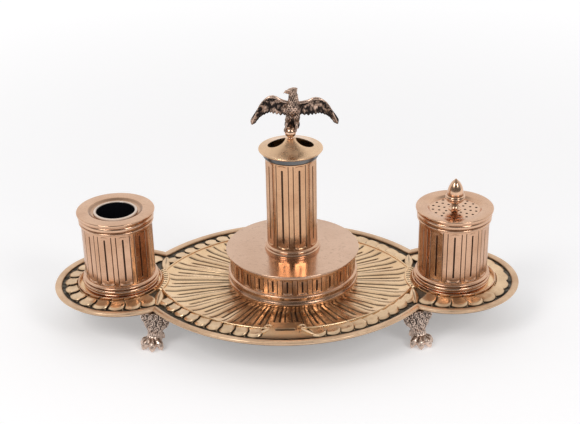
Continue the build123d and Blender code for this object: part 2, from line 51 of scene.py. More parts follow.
ridge_top, ridge_inset = 28.6, 16.2
well_x, well_r = 108.2, 26.15         # the ring that each pot stands in
platform_r = well_r + 1.1
collar_w = 3.4
cove_long, cove_end = 9.0, 5.4        # how far the field's rise starts inside its edge, and beside a collar


def spot(r, turn, x=0.0, y=0.0):
    """Point at a distance and a heading, in degrees, from (x, y)."""
    return x + r * math.cos(math.radians(turn)), y + r * math.sin(math.radians(turn))


def ramp(value, low, high):
    """0 below low, 1 above high, eased between."""
    t = min(1.0, max(0.0, (value - low) / (high - low)))
    return t * t * (3 - 2 * t)


def cast_piece(name, form, finish, body, stands_for=(), crease=38, finish_of=None):
    """Make one piece from its form, (points in mm, faces, darkness), and hang it on its body."""
    points, faces, dark = form
    mesh = bpy.data.meshes.new(name)
    mesh.from_pydata([(x * mm, y * mm, z * mm) for x, y, z in points], [], faces)
    for one in finish if isinstance(finish, list) else [finish]:
        mesh.materials.append(one)
    if finish_of:
        mesh.polygons.foreach_set("material_index", finish_of)
    if dark:
        layer = mesh.attributes.new("hollow", "FLOAT", "POINT")
        layer.data.foreach_set("value", dark)
    bm = bmesh.new()
    bm.from_mesh(mesh)
    bmesh.ops.remove_doubles(bm, verts=bm.verts, dist=0.000004)
    bmesh.ops.dissolve_degenerate(bm, edges=bm.edges, dist=0.000002)
    bmesh.ops.recalc_face_normals(bm, faces=bm.faces)
    for face in bm.faces:
        face.smooth = True
    for edge in bm.edges:
        if len(edge.link_faces) == 2:
            edge.smooth = edge.calc_face_angle(0) < math.radians(crease)
    bm.to_mesh(mesh)
    bm.free()
    piece = bpy.data.objects.new(name, mesh)
    bpy.context.scene.collection.objects.link(piece)
    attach(piece, body)
    if stands_for:
        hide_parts(*stands_for)
    return piece


def metal_finish(name, bright, deep, shade, rough, rough_dark, grain=0.06, mottle=55.0, brush=None,
                 pits=0.0):
    """Worn gilt metal: two tones that drift into each other, darker in its hollows as patina and painted
    shade, and lighter on its edges as rubbed wear and painted highlight.
    """
    finish = bpy.data.materials.new(name)
    finish.use_nodes = True
    nodes, links = finish.node_tree.nodes, finish.node_tree.links
    nodes.clear()
    out = nodes.new("ShaderNodeOutputMaterial")
    skin = nodes.new("ShaderNodeBsdfPrincipled")
    skin.inputs["Metallic"].default_value = 1.0
    links.new(skin.outputs["BSDF"], out.inputs["Surface"])
    place = nodes.new("ShaderNodeTexCoord")

    def cloud(scale, detail, stretch=None):
        """Drifting grey noise, stretched where the metal is brushed."""
        source = place.outputs["Object"]
        if stretch:
            bend = nodes.new("ShaderNodeMapping")
            bend.inputs["Scale"].default_value = stretch
            links.new(source, bend.inputs["Vector"])
            source = bend.outputs["Vector"]
        node = nodes.new("ShaderNodeTexNoise")
        node.inputs["Scale"].default_value = scale
        node.inputs["Detail"].default_value = detail
        links.new(source, node.inputs["Vector"])
        return node.outputs["Fac"]

    def fit(source, low, high, to_low, to_high):
        """Spread the values from low to high over to_low to to_high."""
        node = nodes.new("ShaderNodeMapRange")
        node.inputs["From Min"].default_value = low
        node.inputs["From Max"].default_value = high
        node.inputs["To Min"].default_value = to_low
        node.inputs["To Max"].default_value = to_high
        links.new(source, node.inputs["Value"])
        return node.outputs["Result"]

    def blend(factor, first, second):
        """Mix two colours."""
        node = nodes.new("ShaderNodeMix")
        node.data_type = "RGBA"
        for source, socket in ((factor, 0), (first, 6), (second, 7)):
            if isinstance(source, tuple):
                node.inputs[socket].default_value = (*source, 1)
            else:
                links.new(source, node.inputs[socket])
        return node.outputs[2]

    def combine(how, first, second):
        """Add, multiply or subtract two values."""
        node = nodes.new("ShaderNodeMath")
        node.operation = how
        node.use_clamp = how != "MULTIPLY"
        for source, socket in ((first, 0), (second, 1)):
            if isinstance(source, (int, float)):
                node.inputs[socket].default_value = source
            else:
                links.new(source, node.inputs[socket])
        return node.outputs[0]

    drift = fit(cloud(mottle, 5), 0.36, 0.66, 0, 1)
    speck = fit(cloud(mottle * 14, 3), 0.56, 0.74, 0, 1)
    tone = blend(drift, bright, deep)
    tone = blend(combine("MULTIPLY", speck, 0.35), tone, tuple(c * 0.62 for c in deep))
    # Towards the shade colour where the hollow attribute says so and in concave places: patina and painted
    # shade. Lighter on convex edges: rubbed wear and painted highlight.
    mark = nodes.new("ShaderNodeAttribute")
    mark.attribute_name = "hollow"
    edge = nodes.new("ShaderNodeNewGeometry")
    nook = fit(edge.outputs["Pointiness"], 0.495, 0.44, 0, 0.75)
    patina_and_shade = combine("ADD", mark.outputs["Fac"], nook)
    wear_and_highlight = fit(edge.outputs["Pointiness"], 0.515, 0.58, 0, 0.5)
    tone = blend(patina_and_shade, tone, shade)
    tone = blend(combine("MULTIPLY", wear_and_highlight, combine("SUBTRACT", 1.0, mark.outputs["Fac"])), tone,
                 tuple(min(1.0, c * 1.12 + 0.03) for c in bright))
    links.new(tone, skin.inputs["Base Color"])
    base = fit(cloud(mottle * 3, 4), 0.3, 0.7, rough * 0.7, rough * 1.35)
    duller = combine("MULTIPLY", patina_and_shade, rough_dark - rough)
    links.new(combine("ADD", base, duller), skin.inputs["Roughness"])
    lift = cloud(900, 3, brush) if brush else cloud(420, 4)
    if pits:
        cell = nodes.new("ShaderNodeTexVoronoi")
        cell.inputs["Scale"].default_value = pits
        links.new(place.outputs["Object"], cell.inputs["Vector"])
        pit = combine("MULTIPLY", cell.outputs["Distance"], 0.9)
        lift = combine("ADD", pit, combine("MULTIPLY", lift, 0.3))
    bump = nodes.new("ShaderNodeBump")
    bump.inputs["Strength"].default_value = grain
    bump.inputs["Distance"].default_value = 0.0004
    links.new(lift, bump.inputs["Height"])
    links.new(bump.outputs["Normal"], skin.inputs["Normal"])
    return finish


gilt_tray = metal_finish("gilt_tray", (0.89, 0.63, 0.385), (0.77, 0.515, 0.30), (0.10, 0.065, 0.045),
                         0.26, 0.5)
# The stippled ground is near black: partly its own matt tone, partly painted shade in its narrow channel.
matted_ground_and_shade = metal_finish("matted_ground_and_shade", (0.15, 0.128, 0.098), (0.085, 0.08, 0.068), (0.04, 0.036, 0.03),
                           0.42, 0.6, grain=0.9, mottle=70, pits=1500)


def arc_field(turn, inset, end_gap):
    """How far the field reaches from the tray's centre in one direction."""
    ux, uy = math.cos(math.radians(turn)), abs(math.sin(math.radians(turn)))
    r1 = arc_r - inset
    reach = -arc_shift * uy + math.sqrt(r1 * r1 - (arc_shift * ux) ** 2)
    inside = (platform_r + collar_w + end_gap) ** 2 - (uy * well_x) ** 2
    if inside > 0:
        reach = min(reach, abs(ux) * well_x - math.sqrt(inside))
    return reach


def field_sheet():
    """The dished field as rays from the drum outwards, with slots, ribs and their fine lines."""
    pitch, slot_half, rib_low, rib_high, line_half = 12.0, 0.48, 3.6, 8.4, 0.34
    start, first, before = 33.0, 2, 3.4    # inner radius, first slot's heading, where its ray begins
    offsets = [-3.4, -3.0, -2.4, -1.7, -1.1, -0.75, -0.5, -0.38, -0.2, 0, 0.2, 0.38, 0.5, 0.75, 1.1, 1.7,
               2.4, 3.0, 3.35, 3.5, 3.6, 3.7, 3.85, 4.3, 5.0, 6.0, 7.0, 7.7, 8.15, 8.3, 8.4, 8.5]
    fine_from = 0.74
    steps = [i / 16 * fine_from for i in range(16)]
    steps += [fine_from + (1 - fine_from) * i / 22 for i in range(23)]
    points, dark, faces = [], [], []
    turns = [k * pitch + first + o for k in range(30) for o in offsets]
    for turn in turns:
        place = (turn - first + before) % pitch - before
        top = arc_field(turn, ridge_inset + 0.5, 0.6)
        low = arc_field(turn, ridge_inset + 0.5 + cove_long, 0.6 + cove_end)
        for t in steps:
            r = start + (top - start) * t
            rise = max(0.0, (r - low) / (top - low))
            z = field_z + (ridge_top - 1.3 - field_z) * rise ** 1.8
            away = place * math.pi / 180 * r
            fade = ramp(top - r, 0.2, 1.6)
            across = away / (rib_low * math.pi / 180 * r)
            cut, shade = 0.0, 0.0
            if abs(across) < 1:
                cut += 0.42 * (1 - across * across) * fade
            else:
                middle = (place - (rib_low + rib_high) / 2) / ((rib_high - rib_low) / 2)
                cut -= 0.28 * (1 - middle * middle) * fade
            for line in (rib_low, rib_high, rib_high - pitch):
                gap = abs(place - line) * math.pi / 180 * r
                depth = ramp(line_half + 0.16 - gap, 0, 0.2) * fade
                cut += 0.45 * depth
                shade = max(shade, depth)
            over = max(0.0, r - (low + 2.0))
            depth = ramp(slot_half + 0.16 - math.hypot(away, over), 0, 0.24)
            cut += 0.7 * depth
            shade = max(shade, depth)
            points.append((*spot(r, turn), z - cut))
            dark.append(shade)
    rows, columns = len(steps), len(turns)
    for i in range(columns):
        a, b = i * rows, (i + 1) % columns * rows
        for j in range(rows - 1):
            faces.append((a + j, b + j, b + j + 1, a + j + 1))
    base = len(points)
    for turn in turns:
        # This ring lies under the drum and is painted a little dark as the drum's shade.
        points.append((*spot(start - 1.5, turn), field_z - 0.2))
        dark.append(0.3)
    for i in range(columns):
        a, b = i * rows, (i + 1) % columns * rows
        faces.append((base + i, base + (i + 1) % columns, b, a))
    faces.append(tuple(base + i for i in range(columns)))
    return points, faces, dark


def tray_edge(inset, steps=64):
    """The tray's outline, set in from the edge: front arc, right lobe, back arc, left lobe."""
    r1, r2 = arc_r - inset, lobe_r - inset
    gap = math.hypot(lobe_x, arc_shift)
    along = (r1 * r1 - r2 * r2 + gap * gap) / (2 * gap)
    across = math.sqrt(r1 * r1 - along * along)
    ux, uy = lobe_x / gap, -arc_shift / gap
    nx, ny = ux * along + uy * across, arc_shift + uy * along - ux * across
    swing = math.degrees(math.atan2(nx, arc_shift - ny))
    lobe_swing = math.degrees(math.atan2(-ny, nx - lobe_x))
    edge = [spot(r1, -90 - swing + 2 * swing * i / steps, 0, arc_shift) for i in range(steps)]
    edge += [spot(r2, -lobe_swing + 2 * lobe_swing * i / steps, lobe_x) for i in range(steps)]
    return edge + [(-x, -y) for x, y in edge]


def tray_plate():
    """Plate, field, ridge and platforms joined into the one casting that they are."""
    points, faces, dark, of = [], [], [], []

    def add(part, finish=0, shade=None):
        """Join one part to the casting, in its finish and with its darkness."""
        base = len(points)
        points.extend(part[0])
        faces.extend(tuple(base + i for i in face) for face in part[1])
        dark.extend(shade or [0.0] * len(part[0]))
        of.extend([finish] * len(part[1]))

    edge = tray_edge(wire_r, 128)
    n = len(edge)
    top = [(x, y, ground_z) for x, y in edge]
    low = [(x, y, under_z) for x, y in edge]
    sides = [(i, (i + 1) % n, n + (i + 1) % n, n + i) for i in range(n)]
    # The plate's edge and underside are painted near black as shade.
    add((top + low, sides + [tuple(reversed(range(n, 2 * n)))]), 0, [0.9] * (2 * n))
    inner = []
    for x, y in edge:
        turn = math.degrees(math.atan2(y, x))
        inner.append((*spot(arc_field(turn, ridge_inset, 0.2), turn), ground_z))
    add((top + inner, sides), 1)
    body, skin, shade = field_sheet()
    field_lift = 0.45
    add(([(x, y, z + field_lift) for x, y, z in body], skin), 0, shade)
    return (points, faces, dark), of


form, finish_of = tray_plate()
cast_piece("tray_plate", form, [gilt_tray, matted_ground_and_shade], "tray", ["tray"], 40, finish_of)

# ---------------------------------------------------------------------------
# Field line.  A raised rounded line, cast with the plate, that parts the field
# from the ground; its two halves stop at the plain panels.
# ---------------------------------------------------------------------------
ridge_wide = 1.5


def lens_edge(inset):
    """Where the line round the field turns from a long arc on to the platform's edge."""
    low, high = 5.0, 85.0
    for _ in range(40):
        turn = (low + high) / 2
        long_reach = arc_field(turn, inset, -500)
        inside = (platform_r + collar_w + 0.6) ** 2 - (math.sin(math.radians(turn)) * well_x) ** 2
        if inside > 0 and math.cos(math.radians(turn)) * well_x - math.sqrt(inside) < long_reach:
            low = turn
        else:
            high = turn
    return low


def moulding(route, outline, closed=True):
    """Carry an outline of (out, up) pairs along a level route."""
    points, faces = [], []
    count = len(route)
    for i, (x, y, z) in enumerate(route):
        before = route[i - 1] if i or closed else route[0]
        after = route[(i + 1) % count] if i < count - 1 or closed else route[-1]
        dx, dy = after[0] - before[0], after[1] - before[1]
        size = math.hypot(dx, dy) or 1.0
        for out, up in outline:
            points.append((x + dy / size * out, y - dx / size * out, z + up))
    m = len(outline)
    for i in range(count if closed else count - 1):
        for j in range(m):
            a, b = i * m, (i + 1) % count * m
            faces.append((a + j, a + (j + 1) % m, b + (j + 1) % m, b + j))
    if not closed:
        faces.append(tuple(range(m)))
        faces.append(tuple((count - 1) * m + j for j in reversed(range(m))))
    return points, faces, None


def ridge_route():
    """The line's right half: along the front arc, round the collar and back to the rear panel."""
    turn = lens_edge(ridge_inset)
    gap = math.degrees(math.asin(10.4 / (arc_r - ridge_inset - arc_shift)))
    headings = [-90 + gap + (90 - gap - turn) * i / 60 for i in range(60)]
    headings += [-turn + 2 * turn * i / 30 for i in range(30)]
    headings += [turn + (90 - gap - turn) * i / 60 for i in range(61)]
    return [(*spot(arc_field(a, ridge_inset, 0.6), a), ground_z) for a in headings]


ridge_h = ridge_top - ground_z
ridge = [(ridge_wide / 2 * math.cos(math.radians(a)), ridge_h * math.sin(math.radians(a)) ** 0.7)
         for a in range(0, 181, 15)] + [(-ridge_wide / 2, -0.6), (ridge_wide / 2, -0.6)]
for way, name in ((1, "right"), (-1, "left")):
    form = moulding([(way * x, way * y, z) for x, y, z in ridge_route()], ridge, False)
    cast_piece("field_line_" + name, form, gilt_tray, "tray")

# ---------------------------------------------------------------------------
# Platforms.  A low round step at each end of the tray, cast with the plate and
# turned flat on top; a pot stands on it.
# ---------------------------------------------------------------------------
platform_z = 27.2


def turned(profile, x, columns=192, cut=None):
    """Spin a closed profile of (radius, height) about an upright axis."""
    points, faces, dark = [], [], []
    turns = columns if isinstance(columns, list) else [360 * i / columns for i in range(columns)]
    for turn in turns:
        for r, z in profile:
            depth, shade = cut(turn, r, z) if cut else (0.0, 0.0)
            points.append((*spot(r - depth, turn, x), z))
            dark.append(shade)
    m = len(profile)
    for i in range(len(turns)):
        a, b = i * m, (i + 1) % len(turns) * m
        for j in range(m):
            k = (j + 1) % m
            if profile[j][0] > 1e-6 or profile[k][0] > 1e-6:
                faces.append((a + j, b + j, b + k, a + k))
    return points, faces, dark


def eased(profile, ease=0.18, steps=3):
    """Round each corner of a closed profile a little, as polishing does."""
    soft = []
    m = len(profile)
    for i, (r, z) in enumerate(profile):
        if r < 1e-6:
            soft.append((r, z))
            continue
        before = Vector(profile[i - 1]) - Vector((r, z))
        after = Vector(profile[(i + 1) % m]) - Vector((r, z))
        reach = min(ease, before.length * 0.45, after.length * 0.45)
        if reach < 0.02 or before.angle(after, 0) > math.radians(160):
            soft.append((r, z))
            continue
        first = Vector((r, z)) + before.normalized() * reach
        last = Vector((r, z)) + after.normalized() * reach
        for k in range(steps + 1):
            t = k / steps
            p = first * (1 - t) ** 2 + Vector((r, z)) * 2 * t * (1 - t) + last * t * t
            soft.append((max(0.0, p.x), p.y))
    return soft


for side, name in ((-1, "left"), (1, "right")):
    step_low = ground_z - 0.8
    step = eased([(0, step_low), (platform_r, step_low), (platform_r, platform_z), (0, platform_z)], 0.3)
    cast_piece("platform_" + name, turned(step, side * well_x), gilt_tray, "tray")

# ---------------------------------------------------------------------------
# Collars.  Between each platform and the field a rounded collar, cast with the
# plate and crossed by short cut flutes that point at the pot.
# ---------------------------------------------------------------------------


def sheet_faces(columns, rows, base=0):
    """Faces of a sheet whose points run row by row up each of its columns."""
    starts = [base + i * rows + j for i in range(columns - 1) for j in range(rows - 1)]
    return [(a, a + 1, a + rows + 1, a + rows) for a in starts]


for side, name in ((-1, "left"), (1, "right")):
    points, dark = [], []
    columns, rows, swing, flute_pitch = 221, 23, 29.0, 5.2
    for i in range(columns):
        turn = -swing + 2 * swing * i / (columns - 1)
        close = ramp(swing - abs(turn), 0, 3.0)
        for j in range(rows):
            v = j / (rows - 1)
            r = platform_r - 0.3 + (collar_w + 1.3) * v
            z = ground_z - 0.3 + (0.9 + 1.75 * math.sin(math.pi * (0.08 + 0.72 * v)) ** 0.9) * close
            gap = abs((turn / flute_pitch) % 1.0 - 0.5) * flute_pitch * math.pi / 180 * r
            fine = ramp(0.58 - gap, 0, 0.28) * ramp(v, 0.03, 0.12) * ramp(0.90, v, v + 0.14)
            x, y = spot(r, 180 + turn if side > 0 else turn, side * well_x)
            points.append((x, y, z - 0.5 * fine))
            dark.append(fine)
    form = points, sheet_faces(columns, rows), dark
    cast_piece("collar_" + name, form, gilt_tray, "tray")

# ---------------------------------------------------------------------------
# Plain panels.  At the middle of the front and the back a smooth wedge, cast
# with the plate, breaks the leaf band; it has two fine lines and one short slot.
# ---------------------------------------------------------------------------
lines_y, slot_y, slot_half, slot_r = (60.2, 58.4), 65.3, 5.3, 1.0
for side, name in ((-1, "front"), (1, "back")):
    points, dark = [], []
    columns, rows = 91, 65
    for i in range(columns):
        u = -1 + 2 * i / (columns - 1)
        for j in range(rows):
            y = -55.6 - 18.2 * j / (rows - 1)
            half = 9.6 + 10.2 * max(0.0, (-y - 61.5) / 12.3) ** 1.1
            x = u * half
            bow = math.sqrt(arc_r ** 2 - x * x) - arc_r
            z = 28.3 - 1.5 * ramp(-y, 63.0, 73.8)
            z = z - 0.45 * ramp(y, -60.4, -60.0) - 0.45 * ramp(y, -58.6, -58.2)
            depth = ramp(slot_r - math.hypot(max(0.0, abs(x) - slot_half), y + slot_y), 0, 0.3)
            z -= 1.1 * depth + 0.8 * ramp(abs(u), 0.93, 1.0)
            line = max(ramp(0.24 - abs(y + at), 0, 0.2) for at in lines_y)
            # The panel is painted darker all over, and more so towards its outer end and at its sides.
            outward_dark = 0.32 + 0.5 * ramp(-y, 68.5, 73.8)
            points.append((x, -side * (y - bow), z))
            dark.append(min(1.0, depth + 0.7 * line + outward_dark + 0.6 * ramp(abs(u), 0.9, 1.0)))
    form = points, sheet_faces(columns, rows), dark
    cast_piece("panel_" + name, form, gilt_tray, "tray")

# ---------------------------------------------------------------------------
# Border wire.  A flattened wire let over the edge of the plate and soldered,
# with a mitred corner at each of the four necks.
# ---------------------------------------------------------------------------
wire_h, wire_top = 2.8, 28.3
gilt_wire = metal_finish("gilt_wire", (0.76, 0.535, 0.355), (0.64, 0.43, 0.275), (0.14, 0.095, 0.065),
                         0.42, 0.5)
wire = [(wire_r * math.cos(math.radians(a)), wire_top - wire_h / 2 * (1 - math.sin(math.radians(a))))
        for a in range(-90, 211, 12)] + [(0, ground_z)]
form = moulding([(x, y, 0) for x, y in tray_edge(wire_r, 96)], wire)
cast_piece("border_wire", form, gilt_wire, "tray", ["tray_rim"])

# ---------------------------------------------------------------------------
# Leaf bands.  Six cast strips of overlapping leaves laid on the ground and
# pinned; each leaf is full in the middle, round at its outer edge, and parted
# from the next by a dark notch.
# ---------------------------------------------------------------------------
gilt_leaf = metal_finish("gilt_leaf", (0.84, 0.605, 0.385), (0.64, 0.445, 0.275), (0.06, 0.046, 0.035),
                         0.34, 0.5, grain=0.14, mottle=90)
leaf_z = ground_z - 0.3
corners = (-1, -1, "front_left"), (1, -1, "front_right"), (-1, 1, "back_left"), (1, 1, "back_right")


def leaf(out, x0, y0, inner, outer, mid, half, way, height, seed):
    """One leaf on an arc about (x0, y0), from inner(turn) to outer(turn), bowed to one way."""
    points, faces, dark = out
    base = len(points)
    rows, columns = 17, 21
    rng = random.Random(seed)
    full = height * rng.uniform(0.94, 1.05)
    for i in range(columns):
        u = math.sin(math.pi / 2 * (-1 + 2 * i / (columns - 1)))
        for j in range(rows):
            v = j / (rows - 1)
            turn = mid + half * (u + way * 0.30 * math.sin(math.pi * 0.86 * v))
            scallop = 1 - 0.24 * abs(u) ** 2.4 - 0.05 * max(0.0, -u * way)
            r = inner(turn) + (outer(turn) - inner(turn)) * v * scallop
            swell = ramp(v, -0.12, 0.08) * (1 - 0.55 * ramp(v, 0.76, 1.02))
            side = max(0.0, 1 - abs(u) ** 7.0) ** 0.5
            tilt = 0.80 + 0.20 * u * way
            z = leaf_z + 0.2 + full * (0.62 + 0.38 * side) * swell * tilt
            dimple = -0.16 * math.exp(-((u + 0.05 * way) / 0.5) ** 2 - ((v - 0.42) / 0.26) ** 2)
            uneven = 0.05 * noise.noise(Vector((turn, r, 1)))
            points.append((*spot(r, turn, x0, y0), z + (dimple + uneven) * side))
            ends = ramp(v, 0.93, 1.0) * 0.8 + ramp(0.03, v, v + 0.05) * 0.7
            dark.append(min(1.0, ramp(abs(u), 0.88, 1.0) + ends))
    faces.extend(sheet_faces(columns, rows, base))
    skirt = []
    rim = [base + j for j in range(rows)] + [base + i * rows + rows - 1 for i in range(1, columns)]
    rim += [base + (columns - 1) * rows + j for j in range(rows - 2, -1, -1)]
    rim += [base + i * rows for i in range(columns - 2, 0, -1)]
    for k in rim:
        skirt.append(len(points))
        points.append((*points[k][:2], leaf_z))
        dark.append(1.0)
    for k in range(len(rim)):
        n = (k + 1) % len(rim)
        faces.append((rim[k], rim[n], skirt[n], skirt[k]))
    faces.append(tuple(reversed(skirt)))


def skin_rings(out, rings):
    """Join closed rings of (x, y, z, dark) into a tube with filled ends."""
    points, faces, dark = out
    m = len(rings[0])
    base = len(points)
    for ring in rings:
        for x, y, z, shade in ring:
            points.append((x, y, z))
            dark.append(min(1.0, max(0.0, shade)))
    for i in range(len(rings) - 1):
        for k in range(m):
            a, b = base + i * m + k, base + i * m + (k + 1) % m
            faces.append((a, b, b + m, a + m))
    faces.append(tuple(base + k for k in reversed(range(m))))
    faces.append(tuple(base + (len(rings) - 1) * m + k for k in range(m)))


def tongue(out, x0, y0, r, turn, size):
    """The small drop that fills the notch between two leaves."""
    rings = []
    for i in range(5):
        swing = math.pi / 2 * (1 - i / 4)
        lift, spread = math.sin(swing), size * math.cos(swing)
        ring = []
        for k in range(10):
            a = 2 * math.pi * k / 10
            along = spread * math.cos(a) * 0.62
            away = spread * math.sin(a) * (1.5 if math.sin(a) < 0 else 0.8)
            place = spot(r + away, turn + math.degrees(along / r), x0, y0)
            ring.append((*place, leaf_z + 1.1 * lift, 1.0 - 0.45 * lift))
        rings.append(ring)
    skin_rings(out, rings)


def rolled_stem(out, route, radii):
    """A round stem that follows a route and swells as radii say; used for the curled ends."""
    rings = []
    for i, place in enumerate(route):
        ahead = Vector(route[min(i + 1, len(route) - 1)]) - Vector(route[max(i - 1, 0)])
        across = ahead.normalized().cross(Vector((0, 0, 1))).normalized()
        upright = across.cross(ahead.normalized())
        ring = []
        for k in range(10):
            a = 2 * math.pi * k / 10
            p = Vector(place) + (across * math.cos(a) + upright * math.sin(a)) * radii[i]
            # The stem's underside is painted darker as shade.
            ring.append((*p, 0.55 if math.sin(a) < -0.3 else 0.0))
        rings.append(ring)
    skin_rings(out, rings)


def band(name, node, x0, y0, inner, outer, start, end, count, way, height, end_curl=None):
    """A whole strip: its leaves from start to end, the drops between them and any curled end."""
    out = ([], [], [])
    step = (end - start) / count
    for i in range(count):
        seed = sum(ord(letter) for letter in name) * 31 + i
        leaf(out, x0, y0, inner, outer, start + (i + 0.5) * step, abs(step) / 2 * 0.985,
             way if step > 0 else -way, height, seed)
        if i:
            turn = start + i * step
            tongue(out, x0, y0, outer(turn) - 1.5, turn, 0.95)
    if end_curl:
        end_curl(out)
    cast_piece(name, out, gilt_leaf, "tray", [node], 50)


for sx, sy, name in corners:
    middle = -90 if sy < 0 else 90
    y0 = arc_shift if sy < 0 else -arc_shift
    first, last = 9.2, 58.9

    def curl(out, sx=sx, sy=sy):
        """Scroll and tapering stem that close the band beside the plain panel."""
        eye = (10.6 * sx, sy * 62.4)
        route, radii = [], []
        for k in range(26):
            a = math.radians(-40 + 16 * k)
            size = 0.5 + 0.085 * k
            route.append((eye[0] - sx * size * math.cos(a), eye[1] + sy * size * math.sin(a),
                          ground_z + 2.0))
            radii.append(0.42 + 0.016 * k)
        rolled_stem(out, route, radii)
        route, radii = [], []
        for k in range(17):
            t = k / 16
            x = (10.0 + 10.4 * t ** 1.15) * sx
            y = sy * (64.0 + 8.2 * t ** 0.9 - 0.9 * t * t)
            route.append((x, y, ground_z + 1.75 - 0.9 * t))
            radii.append(0.75 + 0.85 * math.sin(math.pi * min(1, t * 1.25)) * (1 - t) - 0.3 * t)
        rolled_stem(out, route, radii)

    start, end = middle + sx * -sy * first, middle + sx * -sy * last

    def long_outer(turn, start=start, end=end):
        """The strip narrows a little towards the neck."""
        return arc_r - 6.2 - 1.6 * ramp((turn - start) / (end - start), 0.3, 1.0)

    band("leaves_" + name, "leaf_band_" + name, 0, y0, lambda turn: arc_r - 15.5, long_outer, start, end, 9,
         1 if end > start else -1, 2.5, curl)

for side, name in ((-1, "left"), (1, "right")):
    middle = 0 if side > 0 else 180

    def lobe_inner(turn, side=side):
        """Distance from the lobe's centre to the edge of the platform, which lies a little off it."""
        turn = math.radians(turn)
        off = well_x - lobe_x
        reach = (platform_r + 0.3) ** 2 - (off * math.sin(turn)) ** 2
        return side * off * math.cos(turn) + math.sqrt(reach)

    band("leaves_" + name + "_end", "leaf_band_" + name + "_end", side * lobe_x, 0, lobe_inner,
         lambda turn: lobe_r - 6.2, middle - 129.0, middle + 129.0, 15, 1, 2.4)

# ---------------------------------------------------------------------------
# Neck leaves.  At each neck a small pointed leaf covers the joint between the
# end strip and the long strip; they belong to the strips' casting.
# ---------------------------------------------------------------------------
for sx, sy, name in corners:
    points, dark = [], []
    columns, rows = 13, 17
    for i in range(columns):
        u = -1 + 2 * i / (columns - 1)
        for j in range(rows):
            v = j / (rows - 1)
            wide = 3.3 * math.sin(math.pi * (0.04 + 0.90 * v)) ** 0.8 + 0.05
            x = (80.3 + 0.9 * v + u * wide) * sx
            y = (13.4 + 19.0 * v) * sy
            swell = (1 - u * u) ** 0.55 * math.sin(math.pi * (0.12 + 0.80 * v)) ** 0.5
            fold = -0.35 * math.exp(-(u / 0.16) ** 2)
            points.append((x, y, leaf_z + 0.2 + 2.5 * swell + fold * swell))
            vein = 0.6 * math.exp(-(u / 0.12) ** 2) * ramp(v, 0.2, 0.5)
            dark.append(min(1.0, ramp(abs(u), 0.72, 1.0) + vein))
    form = points, sheet_faces(columns, rows), dark
    cast_piece("neck_leaf_" + name, form, gilt_leaf, "tray", crease=60)

# ---------------------------------------------------------------------------
# Well rings.  A low turned ring soldered to each platform; a pot stands in it.
# ---------------------------------------------------------------------------
gilt_turned = metal_finish("gilt_turned", (0.72, 0.465, 0.315), (0.61, 0.37, 0.24), (0.08, 0.045, 0.03),
                           0.18, 0.42, grain=0.05, brush=(1, 1, 0.05))
for side, name in ((-1, "left"), (1, "right")):
    ring = [(well_r, platform_z), (well_r + 0.8, platform_z), (well_r + 0.8, 29.3), (well_r, 29.3)]
    form = turned(eased(ring, 0.35, 4), side * well_x, 160)
    cast_piece("well_edge_" + name, form, gilt_turned, "tray", ["well_ring_" + name])

# ---------------------------------------------------------------------------
# Paw feet.  Four cast lion's paws with curled fur on the haunch, drawn up to
# the tray by a stud; the metal is browner than the tray and lighter on its high
# points, as rubbed wear and painted highlight.
# ---------------------------------------------------------------------------
bronze_foot = metal_finish("bronze_foot", (0.86, 0.67, 0.56), (0.62, 0.475, 0.39), (0.10, 0.08, 0.07),
                           0.3, 0.5, grain=0.25, mottle=160)


def lump(parts, voxel, name):
    """Fuse balls and tapering limbs into one skin, as a wax is built up before casting."""
    bm = bmesh.new()
    for start, end, r0, r1 in parts:
        start, end = Vector(start), Vector(end)
        run = end - start
        steps = max(2, int(run.length / 0.6) + 1)
        for k in range(steps + 1):
            t = k / steps
            place = Matrix.Translation(start.lerp(end, t))
            bmesh.ops.create_icosphere(bm, subdivisions=2, radius=r0 + (r1 - r0) * t, matrix=place)
    mesh = bpy.data.meshes.new(name + "_wax")
    bm.to_mesh(mesh)
    bm.free()
    wax = bpy.data.objects.new(name + "_wax", mesh)
    bpy.context.scene.collection.objects.link(wax)
    skin = wax.modifiers.new("skin", "REMESH")
    skin.mode = "VOXEL"
    skin.voxel_size = voxel
    calm = wax.modifiers.new("calm", "SMOOTH")
    calm.iterations = 4
    calm.factor = 0.6
    graph = bpy.context.evaluated_depsgraph_get()
    done = bpy.data.meshes.new_from_object(wax.evaluated_get(graph))
    points = [tuple(v.co) for v in done.vertices]
    normals = [tuple(v.normal) for v in done.vertices]
    faces = [tuple(p.vertices) for p in done.polygons]
    bpy.data.objects.remove(wax)
    bpy.data.meshes.remove(mesh)
    bpy.data.meshes.remove(done)
    return points, normals, faces


